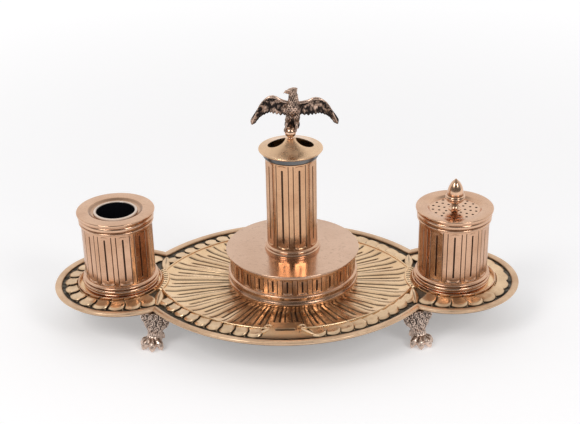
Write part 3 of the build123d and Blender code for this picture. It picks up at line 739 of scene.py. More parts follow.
def paw_parts():
    """Front right paw about its own stud: haunch, shin, pad, four toes, claws and a dew claw."""
    aim = -62.0
    parts = [((0.4, 0.8, 20.4), (0.3, -0.4, 16.4), 7.2, 7.0),
             ((3.9, 0.2, 20.8), (2.2, -0.4, 16.8), 5.2, 5.2),
             ((-4.4, 0.8, 20.4), (-3.0, -0.2, 15.8), 4.6, 4.6),
             ((0.2, -0.4, 16.4), (0.8, -0.4, 11.2), 6.5, 4.9),
             ((0.8, -0.4, 11.2), (1.0, -0.6, 7.8), 4.8, 4.5),
             ((1.0, -0.6, 7.8), (1.4, -1.7, 4.8), 4.5, 5.1),
             ((1.4, -1.8, 4.6), (1.6, -2.2, 4.2), 5.0, 4.2)]
    for swing, reach, r in ((-62, 5.3, 2.45), (-21, 5.9, 2.75), (21, 5.9, 2.75), (62, 5.3, 2.45)):
        x0, y0 = spot(reach - 1.6, aim + swing * 0.85, 1.2, -1.8)
        x1, y1 = spot(reach + 0.2, aim + swing, 1.2, -1.8)
        x2, y2 = spot(reach + 1.5, aim + swing, 1.2, -1.8)
        parts.append(((x0, y0, 5.2), (x1, y1, 4.0), r * 0.88, r * 0.98))
        parts.append(((x1, y1, 3.8), (x2, y2, 2.4), r * 0.92, r * 0.72))
        x3, y3 = spot(reach + 2.7, aim + swing, 1.2, -1.8)
        parts.append(((x2, y2, 2.2), (x3, y3, 0.8), 1.05, 0.5))
    x0, y0 = spot(5.4, 148, 1.2, -1.6)
    parts.append(((x0 * 0.8, y0 * 0.8, 6.6), (x0, y0, 4.4), 1.6, 1.1))
    for x, y, r in ((1.2, -3.6, 2.6), (4.0, -3.2, 2.2), (-0.8, -1.4, 2.2)):
        parts.append(((x, y, 2.2), (x, y, 2.1), r * 0.8, r * 0.8))

    def fuller(p):
        """Spread a point a little, because smoothing draws the skin in."""
        return p[0] * 1.12 - 0.3, p[1] * 1.06, p[2]

    return [(fuller(a), fuller(b), r0 * 1.03, r1 * 1.03) for a, b, r0, r1 in parts]


paw_points, paw_normals, paw_faces = lump(paw_parts(), 0.32, "paw")
foot_x, foot_y, foot_top = 82.4, 34.5, under_z - 0.02


def fur(p):
    """Curled fur: rows of comma-shaped locks on the haunch that thin out down the shin."""
    x, y, z = p
    turn = math.atan2(y + 0.3, x - 0.4) + 0.16 * noise.noise(Vector((x, y, z)) * 0.22)
    z += 1.1 * noise.noise(Vector((x, y, z)) * 0.16 + Vector((7, 3, 1)))
    height = ramp(z, 8.0, 12.5)
    row = z / 3.4
    shift = 0.5 if int(math.floor(row)) % 2 else 0.0
    lock = turn / (2 * math.pi) * 9 + shift + 0.22 * (row % 1.0)
    du = (lock % 1.0) - 0.5
    dv = (row % 1.0) - 0.42
    swirl = math.hypot(du * 1.5, dv)
    curl = math.cos(swirl * 15 - math.atan2(dv, du * 1.5))
    lift = (0.26 * curl - 0.30 * ramp(swirl, 0.46, 0.62)) * height
    strand = 0.12 * math.sin(turn * 23 + z * 1.1) * (1 - height) * ramp(z, 5.8, 8.5)
    return lift + strand


points_out, dark = [], []
for p, n in zip(paw_points, paw_normals):
    rise = fur(p)
    rise += 0.10 * noise.noise(Vector(p) * 1.3)
    z = max(0.0, min(foot_top, p[2] + n[2] * rise))
    points_out.append((p[0] + n[0] * rise, p[1] + n[1] * rise, z))
    dark.append(min(1.0, max(0.0, 0.15 - rise * 2.2) * ramp(p[2], 7.0, 10.0)))
for sx, sy, name in corners:
    placed = [((foot_x + x) * sx, (foot_y - y) * sy, z) for x, y, z in points_out]
    form = placed, paw_faces, dark
    cast_piece("paw_" + name, form, bronze_foot, "tray", ["foot_" + name], 75)

# ---------------------------------------------------------------------------
# Pot cases.  Each pot is a turned tube with hollow flutes between plain ribs and
# a dark slot in every flute; it stands in a moulded foot, has a floor let in from
# below, and carries a soldered neck ring.
# ---------------------------------------------------------------------------


def fluted_wall(x, r_in, r_out, z_low, z_high, count, first, rib, flute, slot, slot_w, hollow):
    """Tube with flutes from flute[0] to flute[1] and slots from slot[0] to slot[1]."""
    pitch = 360 / count
    half = pitch / 2 - rib / 2
    per = 180 / math.pi / r_out
    offsets = [-pitch / 2, -pitch / 2 + rib * 0.28, -half - 0.34 * per, -half - 0.16 * per, -half,
               -half + 0.16 * per, -half + 0.34 * per]
    reach = slot_w / 2 * per
    inner = [-half * 0.8, -half * 0.62, -half * 0.45, -half * 0.3]
    offsets += [o for o in inner if o < -reach * 1.9]
    offsets += [-reach * 1.5, -reach * 1.15, -reach * 0.95, -reach * 0.7, -reach * 0.35, 0]
    offsets += [-o for o in reversed(offsets[1:-1])]
    turns = [first + k * pitch + o for k in range(count) for o in offsets]

    def near(z, span, steps):
        """Close heights about z, where a flute or a slot ends."""
        return [z + span * k / steps for k in range(-steps, steps + 1)]

    heights = [z_low] + near(flute[0], 1.6, 6) + near(slot[0] + slot_w / 2, 1.0, 6)
    gap = slot[1] - slot[0] - slot_w - 2.4
    heights += [slot[0] + slot_w / 2 + 1.2 + gap * k / 6 for k in range(7)]
    heights += near(slot[1] - slot_w / 2, 1.0, 6) + near(flute[1], 1.6, 6) + [z_high]
    heights = sorted(set(round(h, 3) for h in heights if z_low <= h <= z_high))
    profile = [(r_in, z_high), (r_in, z_low)] + [(r_out, z) for z in heights]

    def cut(turn, r, z):
        """How deep and how dark the wall is at one place."""
        if r < r_out - 0.01:
            return 0.0, 0.0
        place = (turn - first + pitch / 2) % pitch - pitch / 2
        wide = half * math.pi / 180 * r_out
        arch = max(0.0, 1.0 - (place / half) ** 2) ** 0.5 * min(2.6, wide * 0.6)
        top = flute[1] - min(2.6, wide * 0.6) + arch
        low = flute[0] + min(2.6, wide * 0.6) - arch
        inside = ramp(top - z, 0, 0.5) * ramp(z - low, 0, 0.5)
        depth, shade = 0.0, 0.0
        if abs(place) < half:
            depth = hollow * (1 - (place / half) ** 2) * inside
        line = abs(abs(place) - half) * math.pi / 180 * r_out
        fine = ramp(0.30 - line, 0, 0.18) * ramp(flute[1] - z, 0, 0.4) * ramp(z - flute[0], 0, 0.4)
        depth += 0.22 * fine
        shade = max(shade, 0.85 * fine)
        middle = (slot[0] + slot[1]) / 2
        over = max(0.0, abs(z - middle) - (slot[1] - slot[0] - slot_w) / 2)
        away = math.hypot(place * math.pi / 180 * r_out, over)
        deep = ramp(slot_w / 2 + 0.10 - away, 0, 0.2)
        return min(depth + 0.6 * deep, r_out - r_in - 0.1), max(shade, 0.9 * deep)

    return turned(profile, x, turns, cut)


def half_round(r, z_low, z_high, bulge, steps=9):
    """Outline of a half-round moulding that stands out from radius r."""
    outline = []
    for i in range(steps + 1):
        turn = math.radians(180 * i / steps)
        z = (z_low + z_high) / 2 - (z_high - z_low) / 2 * math.cos(turn)
        outline.append((r + bulge * math.sin(turn), z))
    return outline


gilt_pot = metal_finish("gilt_pot", (0.70, 0.435, 0.29), (0.58, 0.34, 0.215), (0.04, 0.022, 0.016),
                        0.22, 0.45, grain=0.06, brush=(1, 1, 0.04))
ink_x, pounce_x = -107.4, 106.8
pot_r, pot_low, pot_rim = 22.5, platform_z, 76.0
for name, x, first_flute in (("ink", ink_x, -103.0), ("pounce", pounce_x, -94.0)):
    body = name + "_pot"
    form = fluted_wall(x, pot_r - 1.0, pot_r, pot_low + 1.2, pot_rim, 12, first_flute, rib=7.5,
                       flute=(35.4, 69.7), slot=(38.2, 67.3), slot_w=1.0, hollow=0.36)
    cast_piece(name + "_case", form, gilt_pot, body, [name + "_wall"])
    foot = [(pot_r, pot_low), (24.0, pot_low), (24.0, 29.2), (23.6, 29.6)]
    foot += half_round(23.6, 29.8, 32.2, 0.9) + [(23.1, 32.3), (23.1, 32.6)]
    foot += half_round(23.1, 32.7, 34.0, 0.85) + [(22.7, 34.3), (pot_r, 34.4)]
    form = turned(foot, x, 192)
    cast_piece(name + "_foot", form, gilt_turned, body, [name + "_foot_moulding"], 30)
    neck = [(pot_r, 70.7), (22.8, 70.7)] + half_round(22.8, 70.8, 72.4, 0.8)
    neck += [(22.95, 72.7)] + half_round(23.0, 72.9, 75.9, 0.85) + [(pot_r, pot_rim)]
    cast_piece(name + "_neck", turned(neck, x, 192),
               gilt_turned, body, [name + "_neck_ring"], 30)
    floor = eased([(0, pot_low), (pot_r - 0.1, pot_low), (pot_r - 0.1, pot_low + 1.15),
                   (0, pot_low + 1.15)])
    cast_piece(name + "_base", turned(floor, x, 96), gilt_pot, body, [name + "_floor"])

# ---------------------------------------------------------------------------
# Ink cover.  A turned gilt ring, flat on top, with a sunk bowl round the
# opening; it lies loose on the pot's neck.
# ---------------------------------------------------------------------------
top = [(13.2, 75.7), (18.5, 75.7), (18.9, 76.05), (23.7, 76.05), (23.75, 76.8), (24.55, 77.2), (24.6, 78.3),
       (24.2, 78.7), (17.5, 78.7), (17.0, 78.45), (16.2, 77.7), (15.3, 77.15), (14.5, 76.92), (13.2, 76.9)]
points, faces, dark = turned(eased(top, 0.22), ink_x, 192)
for i, (x, y, z) in enumerate(points):
    r = math.hypot(x - ink_x, y)
    # The bowl's sloping wall is painted darker as shade, and a darker ring is painted at the opening's
    # edge.
    bowl_shade = 0.42 * ramp(17.4 - r, 0, 0.4) * ramp(r - 15.4, 0, 0.5)
    dark[i] = max(bowl_shade, 0.7 * ramp(14.3 - r, 0, 0.3))
form = points, faces, dark
cast_piece("ink_top", form, gilt_turned, "ink_cover", ["ink_cover"], 30)

# ---------------------------------------------------------------------------
# Ink liner.  A cup of opal glass with a rolled lip that holds the ink; it
# hangs by its lip in the cover's opening and lifts out to be washed.
# ---------------------------------------------------------------------------


def glass_finish():
    """Ink-stained opal glass: near black inside the cup, milky on the rolled lip, with a wet gloss."""
    finish = bpy.data.materials.new("liner_glass")
    finish.use_nodes = True
    nodes, links = finish.node_tree.nodes, finish.node_tree.links
    skin = nodes["Principled BSDF"]
    skin.inputs["IOR"].default_value = 1.52
    place = nodes.new("ShaderNodeTexCoord")
    stain = nodes.new("ShaderNodeTexNoise")
    stain.inputs["Scale"].default_value = 190
    stain.inputs["Detail"].default_value = 4
    links.new(place.outputs["Object"], stain.inputs["Vector"])
    mark = nodes.new("ShaderNodeAttribute")
    mark.attribute_name = "hollow"
    clean = nodes.new("ShaderNodeMix")
    clean.data_type = "RGBA"
    clean.inputs[6].default_value = (0.92, 0.75, 0.63, 1)
    clean.inputs[7].default_value = (0.62, 0.49, 0.40, 1)
    links.new(stain.outputs["Fac"], clean.inputs[0])
    inked = nodes.new("ShaderNodeMix")
    inked.data_type = "RGBA"
    inked.inputs[7].default_value = (0.006, 0.006, 0.008, 1)
    links.new(mark.outputs["Fac"], inked.inputs[0])
    links.new(clean.outputs[2], inked.inputs[6])
    links.new(inked.outputs[2], skin.inputs["Base Color"])
    gloss = nodes.new("ShaderNodeMapRange")
    gloss.inputs["To Min"].default_value = 0.08
    gloss.inputs["To Max"].default_value = 0.3
    links.new(stain.outputs["Fac"], gloss.inputs["Value"])
    links.new(gloss.outputs["Result"], skin.inputs["Roughness"])
    return finish


liner_glass = glass_finish()
cup = [(0, 33.0), (11.4, 33.0), (12.9, 34.5), (12.9, 76.9), (13.75, 76.95), (13.9, 77.4), (13.7, 77.9),
       (13.1, 78.15), (12.5, 78.0), (12.05, 77.5), (12.0, 76.6), (12.0, 60.0), (12.0, 35.4), (10.8, 34.2),
       (0, 34.2)]
points, faces, dark = turned(cup, ink_x, 128)
dark = [ramp(12.45 - math.hypot(x - ink_x, y), 0, 0.3) for x, y, z in points]
form = points, faces, dark
cast_piece("ink_cup", form, liner_glass, "ink_liner", ["ink_liner"], 30)

# ---------------------------------------------------------------------------
# Spring rings.  Under the ink cover and the pounce lid a thin brass ring is
# soldered; it drops into the pot and keeps the cover in the middle.
# ---------------------------------------------------------------------------
brass_inner = metal_finish("brass_inner", (0.62, 0.45, 0.24), (0.48, 0.34, 0.18), (0.10, 0.07, 0.04),
                           0.34, 0.5)
for name, x in (("ink_cover", ink_x), ("pounce_lid", pounce_x)):
    flange = eased([(20.1, 71.5), (21.1, 71.5), (21.1, pot_rim), (20.1, pot_rim)], 0.25)
    form = turned(flange, x, 128)
    cast_piece(name + "_spring_ring", form, brass_inner, name, [name + "_flange"])

# ---------------------------------------------------------------------------
# Pounce lid.  A turned ring round a sunk plate that is pierced with three
# rings of small holes to shake the sand through; it lies loose on the pot.
# ---------------------------------------------------------------------------
holes = [spot(r, turn + i * 360 / count)
         for count, r, turn in ((8, 6.6, 30), (12, 10.2, 12), (16, 13.8, 4)) for i in range(count)]
hole_r, stem_r = 0.82, 1.3
sieve_low, sieve_top = 76.35, 76.95


def pierced_plate():
    """Thin round plate filled in between its edge, the knob's hole and the small holes."""
    bm = bmesh.new()
    loops = [[spot(15.9, 360 * i / 160) for i in range(160)]]
    loops.append([spot(stem_r, 360 * i / 32) for i in range(32)])
    loops += [[spot(hole_r, 360 * k / 16, *hole) for k in range(16)] for hole in holes]
    edges = []
    for loop in loops:
        rim = [bm.verts.new((x, y, 0)) for x, y in loop]
        for i in range(len(rim)):
            edges.append(bm.edges.new((rim[i], rim[(i + 1) % len(rim)])))
    bmesh.ops.triangle_fill(bm, use_beauty=True, use_dissolve=False, edges=edges)
    doomed = []
    for face in bm.faces:
        c = face.calc_center_median()
        in_hole = any(math.hypot(c.x - x, c.y - y) < hole_r * 0.97 for x, y in holes)
        if c.length < stem_r - 0.01 or in_hole:
            doomed.append(face)
    bmesh.ops.delete(bm, geom=doomed, context="FACES_ONLY")
    bm.verts.ensure_lookup_table()
    bm.verts.index_update()
    points = [(v.co.x + pounce_x, v.co.y, sieve_top) for v in bm.verts]
    faces = [tuple(v.index for v in f.verts) for f in bm.faces]
    loose = {}
    for face in faces:
        for i in range(len(face)):
            a, b = face[i], face[(i + 1) % len(face)]
            loose[(a, b)] = loose.get((a, b), 0) + 1
    n = len(points)
    walls = [(a, b, b + n, a + n) for a, b in loose if (b, a) not in loose]
    low = [(x, y, sieve_low) for x, y, _ in points]
    faces = faces + [tuple(i + n for i in reversed(f)) for f in faces] + walls
    bm.free()
    # The plate's underside, and the lower part of each hole's wall, are painted dark as shade.
    dark = [0.0] * n + [1.0] * n
    return points + low, faces, dark


cast_piece("pounce_sieve", pierced_plate(), gilt_turned, "pounce_lid", crease=30)
ring = [(15.7, 76.3), (18.5, 76.3), (18.9, 76.05), (23.7, 76.05), (23.75, 76.8), (24.55, 77.2),
        (24.6, 78.3), (24.2, 78.7), (18.0, 78.7), (17.4, 78.5), (16.6, 77.8), (16.1, 77.2), (15.7, 76.95)]
form = turned(eased(ring, 0.2), pounce_x, 192)
cast_piece("pounce_top", form, gilt_turned, "pounce_lid", ["pounce_lid"], 30)

# ---------------------------------------------------------------------------
# Acorn knob.  Turned in one piece with its flared stem, polished, and screwed
# through the pierced plate on to a nut below it.
# ---------------------------------------------------------------------------
gilt_knob = metal_finish("gilt_knob", (0.78, 0.51, 0.35), (0.66, 0.41, 0.27), (0.08, 0.05, 0.03),
                         0.18, 0.45, grain=0.05)
acorn = [(0, 73.0), (1.2, 73.0), (1.2, 77.0), (4.1, 77.0), (4.1, 77.35), (3.3, 77.8), (2.5, 78.7),
         (2.0, 80.0), (1.8, 80.9), (3.0, 81.4), (4.7, 82.2), (5.6, 83.1), (5.9, 83.8), (5.7, 84.1),
         (6.1, 84.4), (6.3, 85.0), (6.1, 85.5), (5.8, 85.7), (6.05, 86.0), (5.9, 86.4), (5.3, 86.65),
         (4.95, 86.7), (5.1, 87.6), (5.05, 89.0), (4.7, 90.8), (4.0, 92.7), (2.9, 94.7), (1.8, 96.0),
         (1.0, 96.6), (0.65, 97.1), (0.3, 97.45), (0, 97.5)]
groove_low, groove_high = 84.1, 85.7
points, faces, dark = turned(acorn, pounce_x, 144)
dark = [0.8 * (abs(z - groove_low) < 0.05 or abs(z - groove_high) < 0.05) for x, y, z in points]
form = points, faces, dark
cast_piece("pounce_knob", form, gilt_knob, "pounce_lid", ["pounce_acorn"], 60)

# ---------------------------------------------------------------------------
# Drum.  A wide low box for wafers: a turned wall with short flutes between a
# moulded foot and a plain band that are soldered on; it stands on the field.
# ---------------------------------------------------------------------------
drum_x = 4.0
drum_r, drum_top = 40.3, 50.2
form = fluted_wall(drum_x, drum_r - 1.1, drum_r, 27.0, drum_top, 27, -94.0, rib=4.6,
                   flute=(37.6, 47.7), slot=(38.9, 46.5), slot_w=1.05, hollow=0.3)
cast_piece("drum_frieze", form, gilt_pot, "drum", ["drum_wall"])
foot = [(drum_r, 25.85), (40.8, 25.85), (40.8, 28.2), (41.1, 28.6)] + half_round(41.1, 28.8, 32.4, 0.75)
foot += [(40.95, 32.6), (40.6, 33.5), (40.75, 34.7)] + half_round(40.8, 35.0, 36.8, 0.75)
foot += [(40.6, 37.0), (drum_r, 37.1)]
form = turned(foot, drum_x, 256)
cast_piece("drum_foot", form, gilt_turned, "drum", ["drum_foot_moulding"], 30)
top_band = eased([(drum_r, 48.0), (41.0, 48.0), (41.0, drum_top - 0.05), (drum_r, drum_top - 0.05)], 0.25)
form = turned(top_band, drum_x, 256)
cast_piece("drum_band", form, gilt_turned, "drum", ["drum_top_band"], 30)

# ---------------------------------------------------------------------------
# Drum lid.  A thin turned disc that stands out past the wall, rubbed bright by
# handling; a brass ring under it drops into the drum.
# ---------------------------------------------------------------------------
gilt_disc = metal_finish("gilt_disc", (0.70, 0.475, 0.345), (0.61, 0.40, 0.28), (0.14, 0.09, 0.06),
                         0.2, 0.35, grain=0.05, mottle=34)
lid_top = drum_top + 1.2
disc = [(0, drum_top), (42.1, drum_top), (42.4, drum_top + 0.3), (42.4, lid_top - 0.3), (42.1, lid_top),
        (0, lid_top)]
form = turned(eased(disc, 0.25), drum_x, 256)
cast_piece("drum_cover", form, gilt_disc, "drum_lid", ["drum_lid"], 30)
flange = eased([(37.9, 45.4), (38.8, 45.4), (38.8, drum_top), (37.9, drum_top)], 0.25)
form = turned(flange, drum_x, 160)
cast_piece("drum_spring_ring", form, brass_inner, "drum_lid", ["drum_lid_flange"])

# ---------------------------------------------------------------------------
# Quill column.  A fluted tube soldered to the drum's lid between a moulded
# foot ring and a neck ring that is painted dark as the shade under the cap.
# ---------------------------------------------------------------------------
column_r, column_top = 16.0, 118.4
gilt_column = metal_finish("gilt_column", (0.71, 0.43, 0.255), (0.60, 0.34, 0.195), (0.04, 0.024, 0.018),
                           0.21, 0.45, grain=0.05, brush=(1, 1, 0.04))
form = fluted_wall(drum_x, column_r - 1.0, column_r, lid_top, column_top, 9, -110.0, rib=11.0,
                   flute=(56.6, 113.4), slot=(60.2, 110.2), slot_w=1.15, hollow=0.42)
cast_piece("quill_column", form, gilt_column, "drum_lid", ["column"])
foot = [(column_r, lid_top), (17.6, lid_top), (17.75, 51.9), (17.6, 52.8), (17.1, 53.3)]
foot += half_round(16.6, 53.5, 55.1, 0.7) + [(16.3, 55.4), (column_r, 55.5)]
form = turned(foot, drum_x, 160)
cast_piece("column_foot", form, gilt_turned, "drum_lid", ["column_foot_ring"], 30)
# The neck ring sits in the shade under the cap; its dark colour is painted shade.
neck_painted_shade = metal_finish("neck_painted_shade", (0.19, 0.185, 0.18), (0.10, 0.105, 0.11), (0.04, 0.04, 0.042),
                         0.26, 0.4)
neck = [(column_r, 114.2), (16.6, 114.2), (17.25, 115.0), (17.3, 115.6), (17.3, 118.0), (17.0, 118.38),
        (column_r, 118.38)]
form = turned(eased(neck, 0.25), drum_x, 160)
cast_piece("column_neck", form, neck_painted_shade, "drum_lid", ["column_neck_ring"], 30)

# ---------------------------------------------------------------------------
# Cap.  A low spun bell, flat at its edge and rising to the ball, with two round
# holes for quills; a brass ring under it drops into the column.
# ---------------------------------------------------------------------------
gilt_cap = metal_finish("gilt_cap", (0.80, 0.54, 0.335), (0.68, 0.445, 0.265), (0.09, 0.055, 0.036),
                        0.28, 0.45, grain=0.05, mottle=60)
quill_x, quill_r = 8.7, 5.6
cap_r, cap_edge_z, cap_rise = 19.7, 119.7, 6.3


def dome_height(r):
    """Height of the cap's top at a distance from its axis."""
    return cap_edge_z + cap_rise * min(1.0, max(0.0, (cap_r - r) / 17.0)) ** 1.4


def drilled(body, holes):
    """Cut round holes of (x, y, radius, low, high) through a form and return its new skin."""
    solids = []
    bits = ([], [], [])
    for x, y, r, low, high in holes:
        skin_rings(bits, [[(*spot(r, 5 * k, x, y), z, 0) for k in range(72)] for z in (low, high)])
    for points, faces, _ in (body, bits):
        mesh = bpy.data.meshes.new("blank")
        mesh.from_pydata([tuple(p) for p in points], [], faces)
        bm = bmesh.new()
        bm.from_mesh(mesh)
        bmesh.ops.remove_doubles(bm, verts=bm.verts, dist=0.0005)
        bmesh.ops.recalc_face_normals(bm, faces=bm.faces)
        bm.to_mesh(mesh)
        bm.free()
        solid = bpy.data.objects.new("blank", mesh)
        bpy.context.scene.collection.objects.link(solid)
        solids.append(solid)
    drill = solids[0].modifiers.new("drill", "BOOLEAN")
    drill.operation = "DIFFERENCE"
    drill.solver = "EXACT"
    drill.object = solids[1]
    done = bpy.data.meshes.new_from_object(solids[0].evaluated_get(bpy.context.evaluated_depsgraph_get()))
    skin = [tuple(v.co) for v in done.vertices], [tuple(f.vertices) for f in done.polygons], None
    for solid in solids:
        mesh = solid.data
        bpy.data.objects.remove(solid)
        bpy.data.meshes.remove(mesh)
    bpy.data.meshes.remove(done)
    return skin


socket_r = 1.25
steps = [socket_r + (cap_r - socket_r) * i / 40 for i in range(41)]
dome = [(r, dome_height(r)) for r in steps]
dome += [(r, dome_height(r) - (0.45 if r < 16.5 else 0.25)) for r in reversed(steps[::4])]
quill_holes = [(drum_x + side * quill_x, 0, quill_r, 116, 128) for side in (-1, 1)]
form = drilled(turned(dome, drum_x, 160), quill_holes)
cast_piece("cap_dome", form, gilt_cap, "cap", ["cap"], 40)
lip = [(14.6, 118.42), (19.6, 118.42), (20.0, 118.9), (20.0, 119.35), (cap_r, 119.72), (18.6, 119.55),
       (14.6, 119.3)]
cast_piece("cap_lip", turned(eased(lip, 0.15), drum_x, 160), gilt_cap, "cap", crease=30)
flange = eased([(14.1, 113.5), (14.6, 113.5), (14.6, 119.6), (14.1, 119.6)], 0.15)
form = turned(flange, drum_x, 128)
cast_piece("cap_spring_ring", form, brass_inner, "cap", ["cap_flange"])

# ---------------------------------------------------------------------------
# Ball.  A turned and polished ball on a short neck, which the eagle stands on;
# its threaded end goes through the cap into a nut.
# ---------------------------------------------------------------------------
orb_r, orb_z, neck_r = 3.5, 129.7, 1.6
ball = [(0, 120.6), (1.2, 120.6), (1.2, 125.2), (2.4, 125.2), (2.5, 125.6), (1.9, 126.0), (neck_r, 126.5)]
low_turn = math.asin(neck_r / orb_r)
for i in range(24):
    turn = low_turn + (math.pi - low_turn) * i / 24
    ball.append((orb_r * math.sin(turn), orb_z - orb_r * math.cos(turn)))
ball.append((0, orb_z + orb_r))
cast_piece("eagle_ball", turned(ball, drum_x, 96), gilt_knob, "cap", ["orb"], 50)

# ---------------------------------------------------------------------------
# Eagle.  Cast in bronze in one piece with its wings spread, its head turned to
# its right and its claws on the ball, which they are soldered to; dark between
# the feathers as patina and painted shade, and lighter on the high points as
# rubbed wear and painted highlight.
# ---------------------------------------------------------------------------
bronze_eagle = metal_finish("bronze_eagle", (0.68, 0.48, 0.375), (0.38, 0.262, 0.20),
                            (0.03, 0.024, 0.023), 0.24, 0.5, grain=0.15, mottle=180)
wing_mid, top_z = 2.7, 157.98


def plume(out, root, tip, wide, thick, shade=0.0):
    """One flat feather from root to tip: a blade with a raised quill, slanting barbs and a round end."""
    root, tip = Vector(root), Vector(tip)
    run = tip - root
    across = Vector((run.z, 0, -run.x)).normalized()
    rings = []
    for i in range(15):
        t = i / 14
        spread = wide * (0.62 + 0.5 * math.sin(math.pi * (0.1 + 0.6 * t)))
        spread *= math.sqrt(1.0 - 0.93 * ramp(t, 0.72, 1.0))
        middle = root + run * t
        front, back = [], []
        for k in range(9):
            u = -1 + k / 4
            quill = 0.22 if k == 4 else 0.0
            barb = 0.09 * math.sin(math.pi * (t * 11 - abs(u) * 2.2)) * (0.2 < abs(u) < 0.9)
            p = middle + across * (spread * u)
            # Darker at the sides and towards the root, where the next row covers it, as patina and painted
            # shade; the barbs' ridges and the quill are painted lighter as highlight.
            patina_and_shade = 0.75 * ramp(abs(u), 0.5, 1.0) + 0.8 * ramp(0.34, t, t + 0.34) + shade - 2.0 * barb
            patina_and_shade += 0.2 + 1.7 * noise.noise(Vector((p.x, p.z, 3)) * 0.42)
            front.append((p.x, p.y - thick * (1 - 0.8 * u * u) - quill - barb, p.z,
                          patina_and_shade - (0.4 if k == 4 else 0)))
            # The feather's back is painted darker as shade.
            back.append((p.x, p.y + thick * 0.35 * (1 - 0.6 * u * u), p.z, 0.45))
        rings.append(front + back[::-1])
    skin_rings(out, rings)


def wing(out, side):
    """One wing: twelve long feathers, three rows of short ones over them, and the arm on top."""
    def place(d, h, y):
        """From a distance out and a height on the wing to where it stands."""
        drop = (2.3 if side > 0 else 0.9) * math.exp(-((d - 13.5) / 7.0) ** 2)
        return wing_mid + side * d, y, orb_z + h - 1.05 - drop * ramp(h, 8.0, 18.0)

    long_ones = [((3.2, 18.2), (3.8, 11.7)), ((5.2, 18.5), (6.2, 11.4)), ((7.4, 19.2), (8.6, 11.4)),
                 ((9.6, 20.6), (10.9, 12.2)), ((11.6, 21.8), (13.0, 12.8)), ((13.3, 22.3), (14.7, 13.6)),
                 ((15.0, 22.2), (16.6, 13.1)), ((16.7, 21.3), (18.6, 12.0)), ((18.4, 19.9), (20.7, 10.8)),
                 ((19.9, 18.0), (22.7, 9.4)), ((21.2, 15.8), (24.6, 7.5)), ((22.4, 13.6), (26.3, 5.5))]
    for k, (root, tip) in enumerate(long_ones):
        plume(out, place(*root, 1.9 - 0.05 * k), place(*tip, 2.5 - 0.05 * k), 1.65, 0.5, 0.55)
    for row, (start, share, wide, y) in enumerate(((0.02, 0.60, 1.2, 1.2), (-0.10, 0.36, 1.1, 0.75),
                                                   (-0.17, 0.2, 1.0, 0.4))):
        for k in range(len(long_ones) - (row % 2)):
            (d0, h0), (d1, h1) = long_ones[k]
            if row % 2:
                (e0, g0), (e1, g1) = long_ones[k + 1]
                d0, h0, d1, h1 = (d0 + e0) / 2, (h0 + g0) / 2, (d1 + e1) / 2, (h1 + g1) / 2
            first = (d0 + (d1 - d0) * start, h0 + (h1 - h0) * start)
            last = (d0 + (d1 - d0) * (start + share), h0 + (h1 - h0) * (start + share))
            plume(out, place(*first, y), place(*last, y + 0.1), wide, 0.45, 0.50)
    lead = [(1.8, 19.4), (4.4, 20.1), (7.0, 21.0), (9.3, 22.2), (11.0, 23.7), (13.0, 24.3), (15.0, 24.0),
            (17.2, 22.6), (19.2, 20.4), (20.9, 17.8), (22.4, 15.0), (23.7, 12.0), (24.9, 9.2),
            (25.9, 6.8)]
    rings = []
    for i, (d, h) in enumerate(lead):
        d0, h0 = lead[max(0, i - 1)]
        d1, h1 = lead[min(len(lead) - 1, i + 1)]
        size = math.hypot(d1 - d0, h1 - h0)
        r = 1.15 - 0.055 * i + 0.25 * math.exp(-((i - 5) / 1.6) ** 2)
        ring = []
        for k in range(16):
            a = math.radians(22.5 * k)
            out_by, y = r * math.cos(a), 1.1 + r * 0.95 * math.sin(a)
            knot = 1 + 0.13 * math.cos(k * 22.5 * math.pi / 60 + i * 2.1)
            x, y, z = place(d - (h1 - h0) / size * out_by * knot, h + (d1 - d0) / size * out_by * knot, y)
            # The arm's upper edge is painted lighter as highlight, its lower side darker as shade.
            patina_and_shade = 0.2 - 0.6 * math.cos(a) * knot + 0.5 * noise.noise(Vector((x, z, 5)) * 0.5)
            ring.append((x, y, min(z, top_z - 0.08), patina_and_shade))
        rings.append(ring if side > 0 else ring[::-1])
    skin_rings(out, rings)


def scaled_skin(out, stations, count, pitch, columns=96):
    """A plump form covered in small feathers; stations give x, y, height over the ball, width, depth."""
    stations = [(x, y, orb_z + z, wide, deep) for x, y, z, wide, deep in stations]
    rings = []
    length = 0.0
    runs = []
    for first, last in zip(stations, stations[1:]):
        runs.append((length, first, last))
        length += (Vector(last[:3]) - Vector(first[:3])).length
    total = int(length / 0.15)
    for i in range(total + 1):
        s = length * i / total
        start, first, last = [run for run in runs if run[0] <= s + 1e-9][-1]
        share = (s - start) / (Vector(last[:3]) - Vector(first[:3])).length
        x, y, z, wide, deep = (a + (b - a) * share for a, b in zip(first, last))
        row = s / pitch
        shift = 0.5 if int(row) % 2 else 0.0
        ring = []
        for k in range(columns):
            a = 2 * math.pi * k / columns
            across = abs((k / columns * count + shift) % 1.0 - 0.5) * 2
            away = math.hypot(across * 0.95, (1 - row % 1.0) * 0.98)
            lift = 0.10 + 0.26 * away if away < 1 else -0.12
            quill = 0.10 * ramp(0.18 - across, 0, 0.18)
            grow = lift + (quill if away < 1 else 0)
            # The gaps between the small feathers and their low ends are darker, as patina and painted
            # shade.
            patina_and_shade = 0.25 + ramp(0.3 - lift, 0, 0.3) * 0.8 if away < 1 else 1.0
            patina_and_shade += 1.1 * noise.noise(Vector((x + wide * math.cos(a), z, 9)) * 0.45)
            ring.append((x + (wide + grow) * math.cos(a), y + (deep + grow) * math.sin(a), z, patina_and_shade))
        rings.append(ring)
    skin_rings(out, rings)


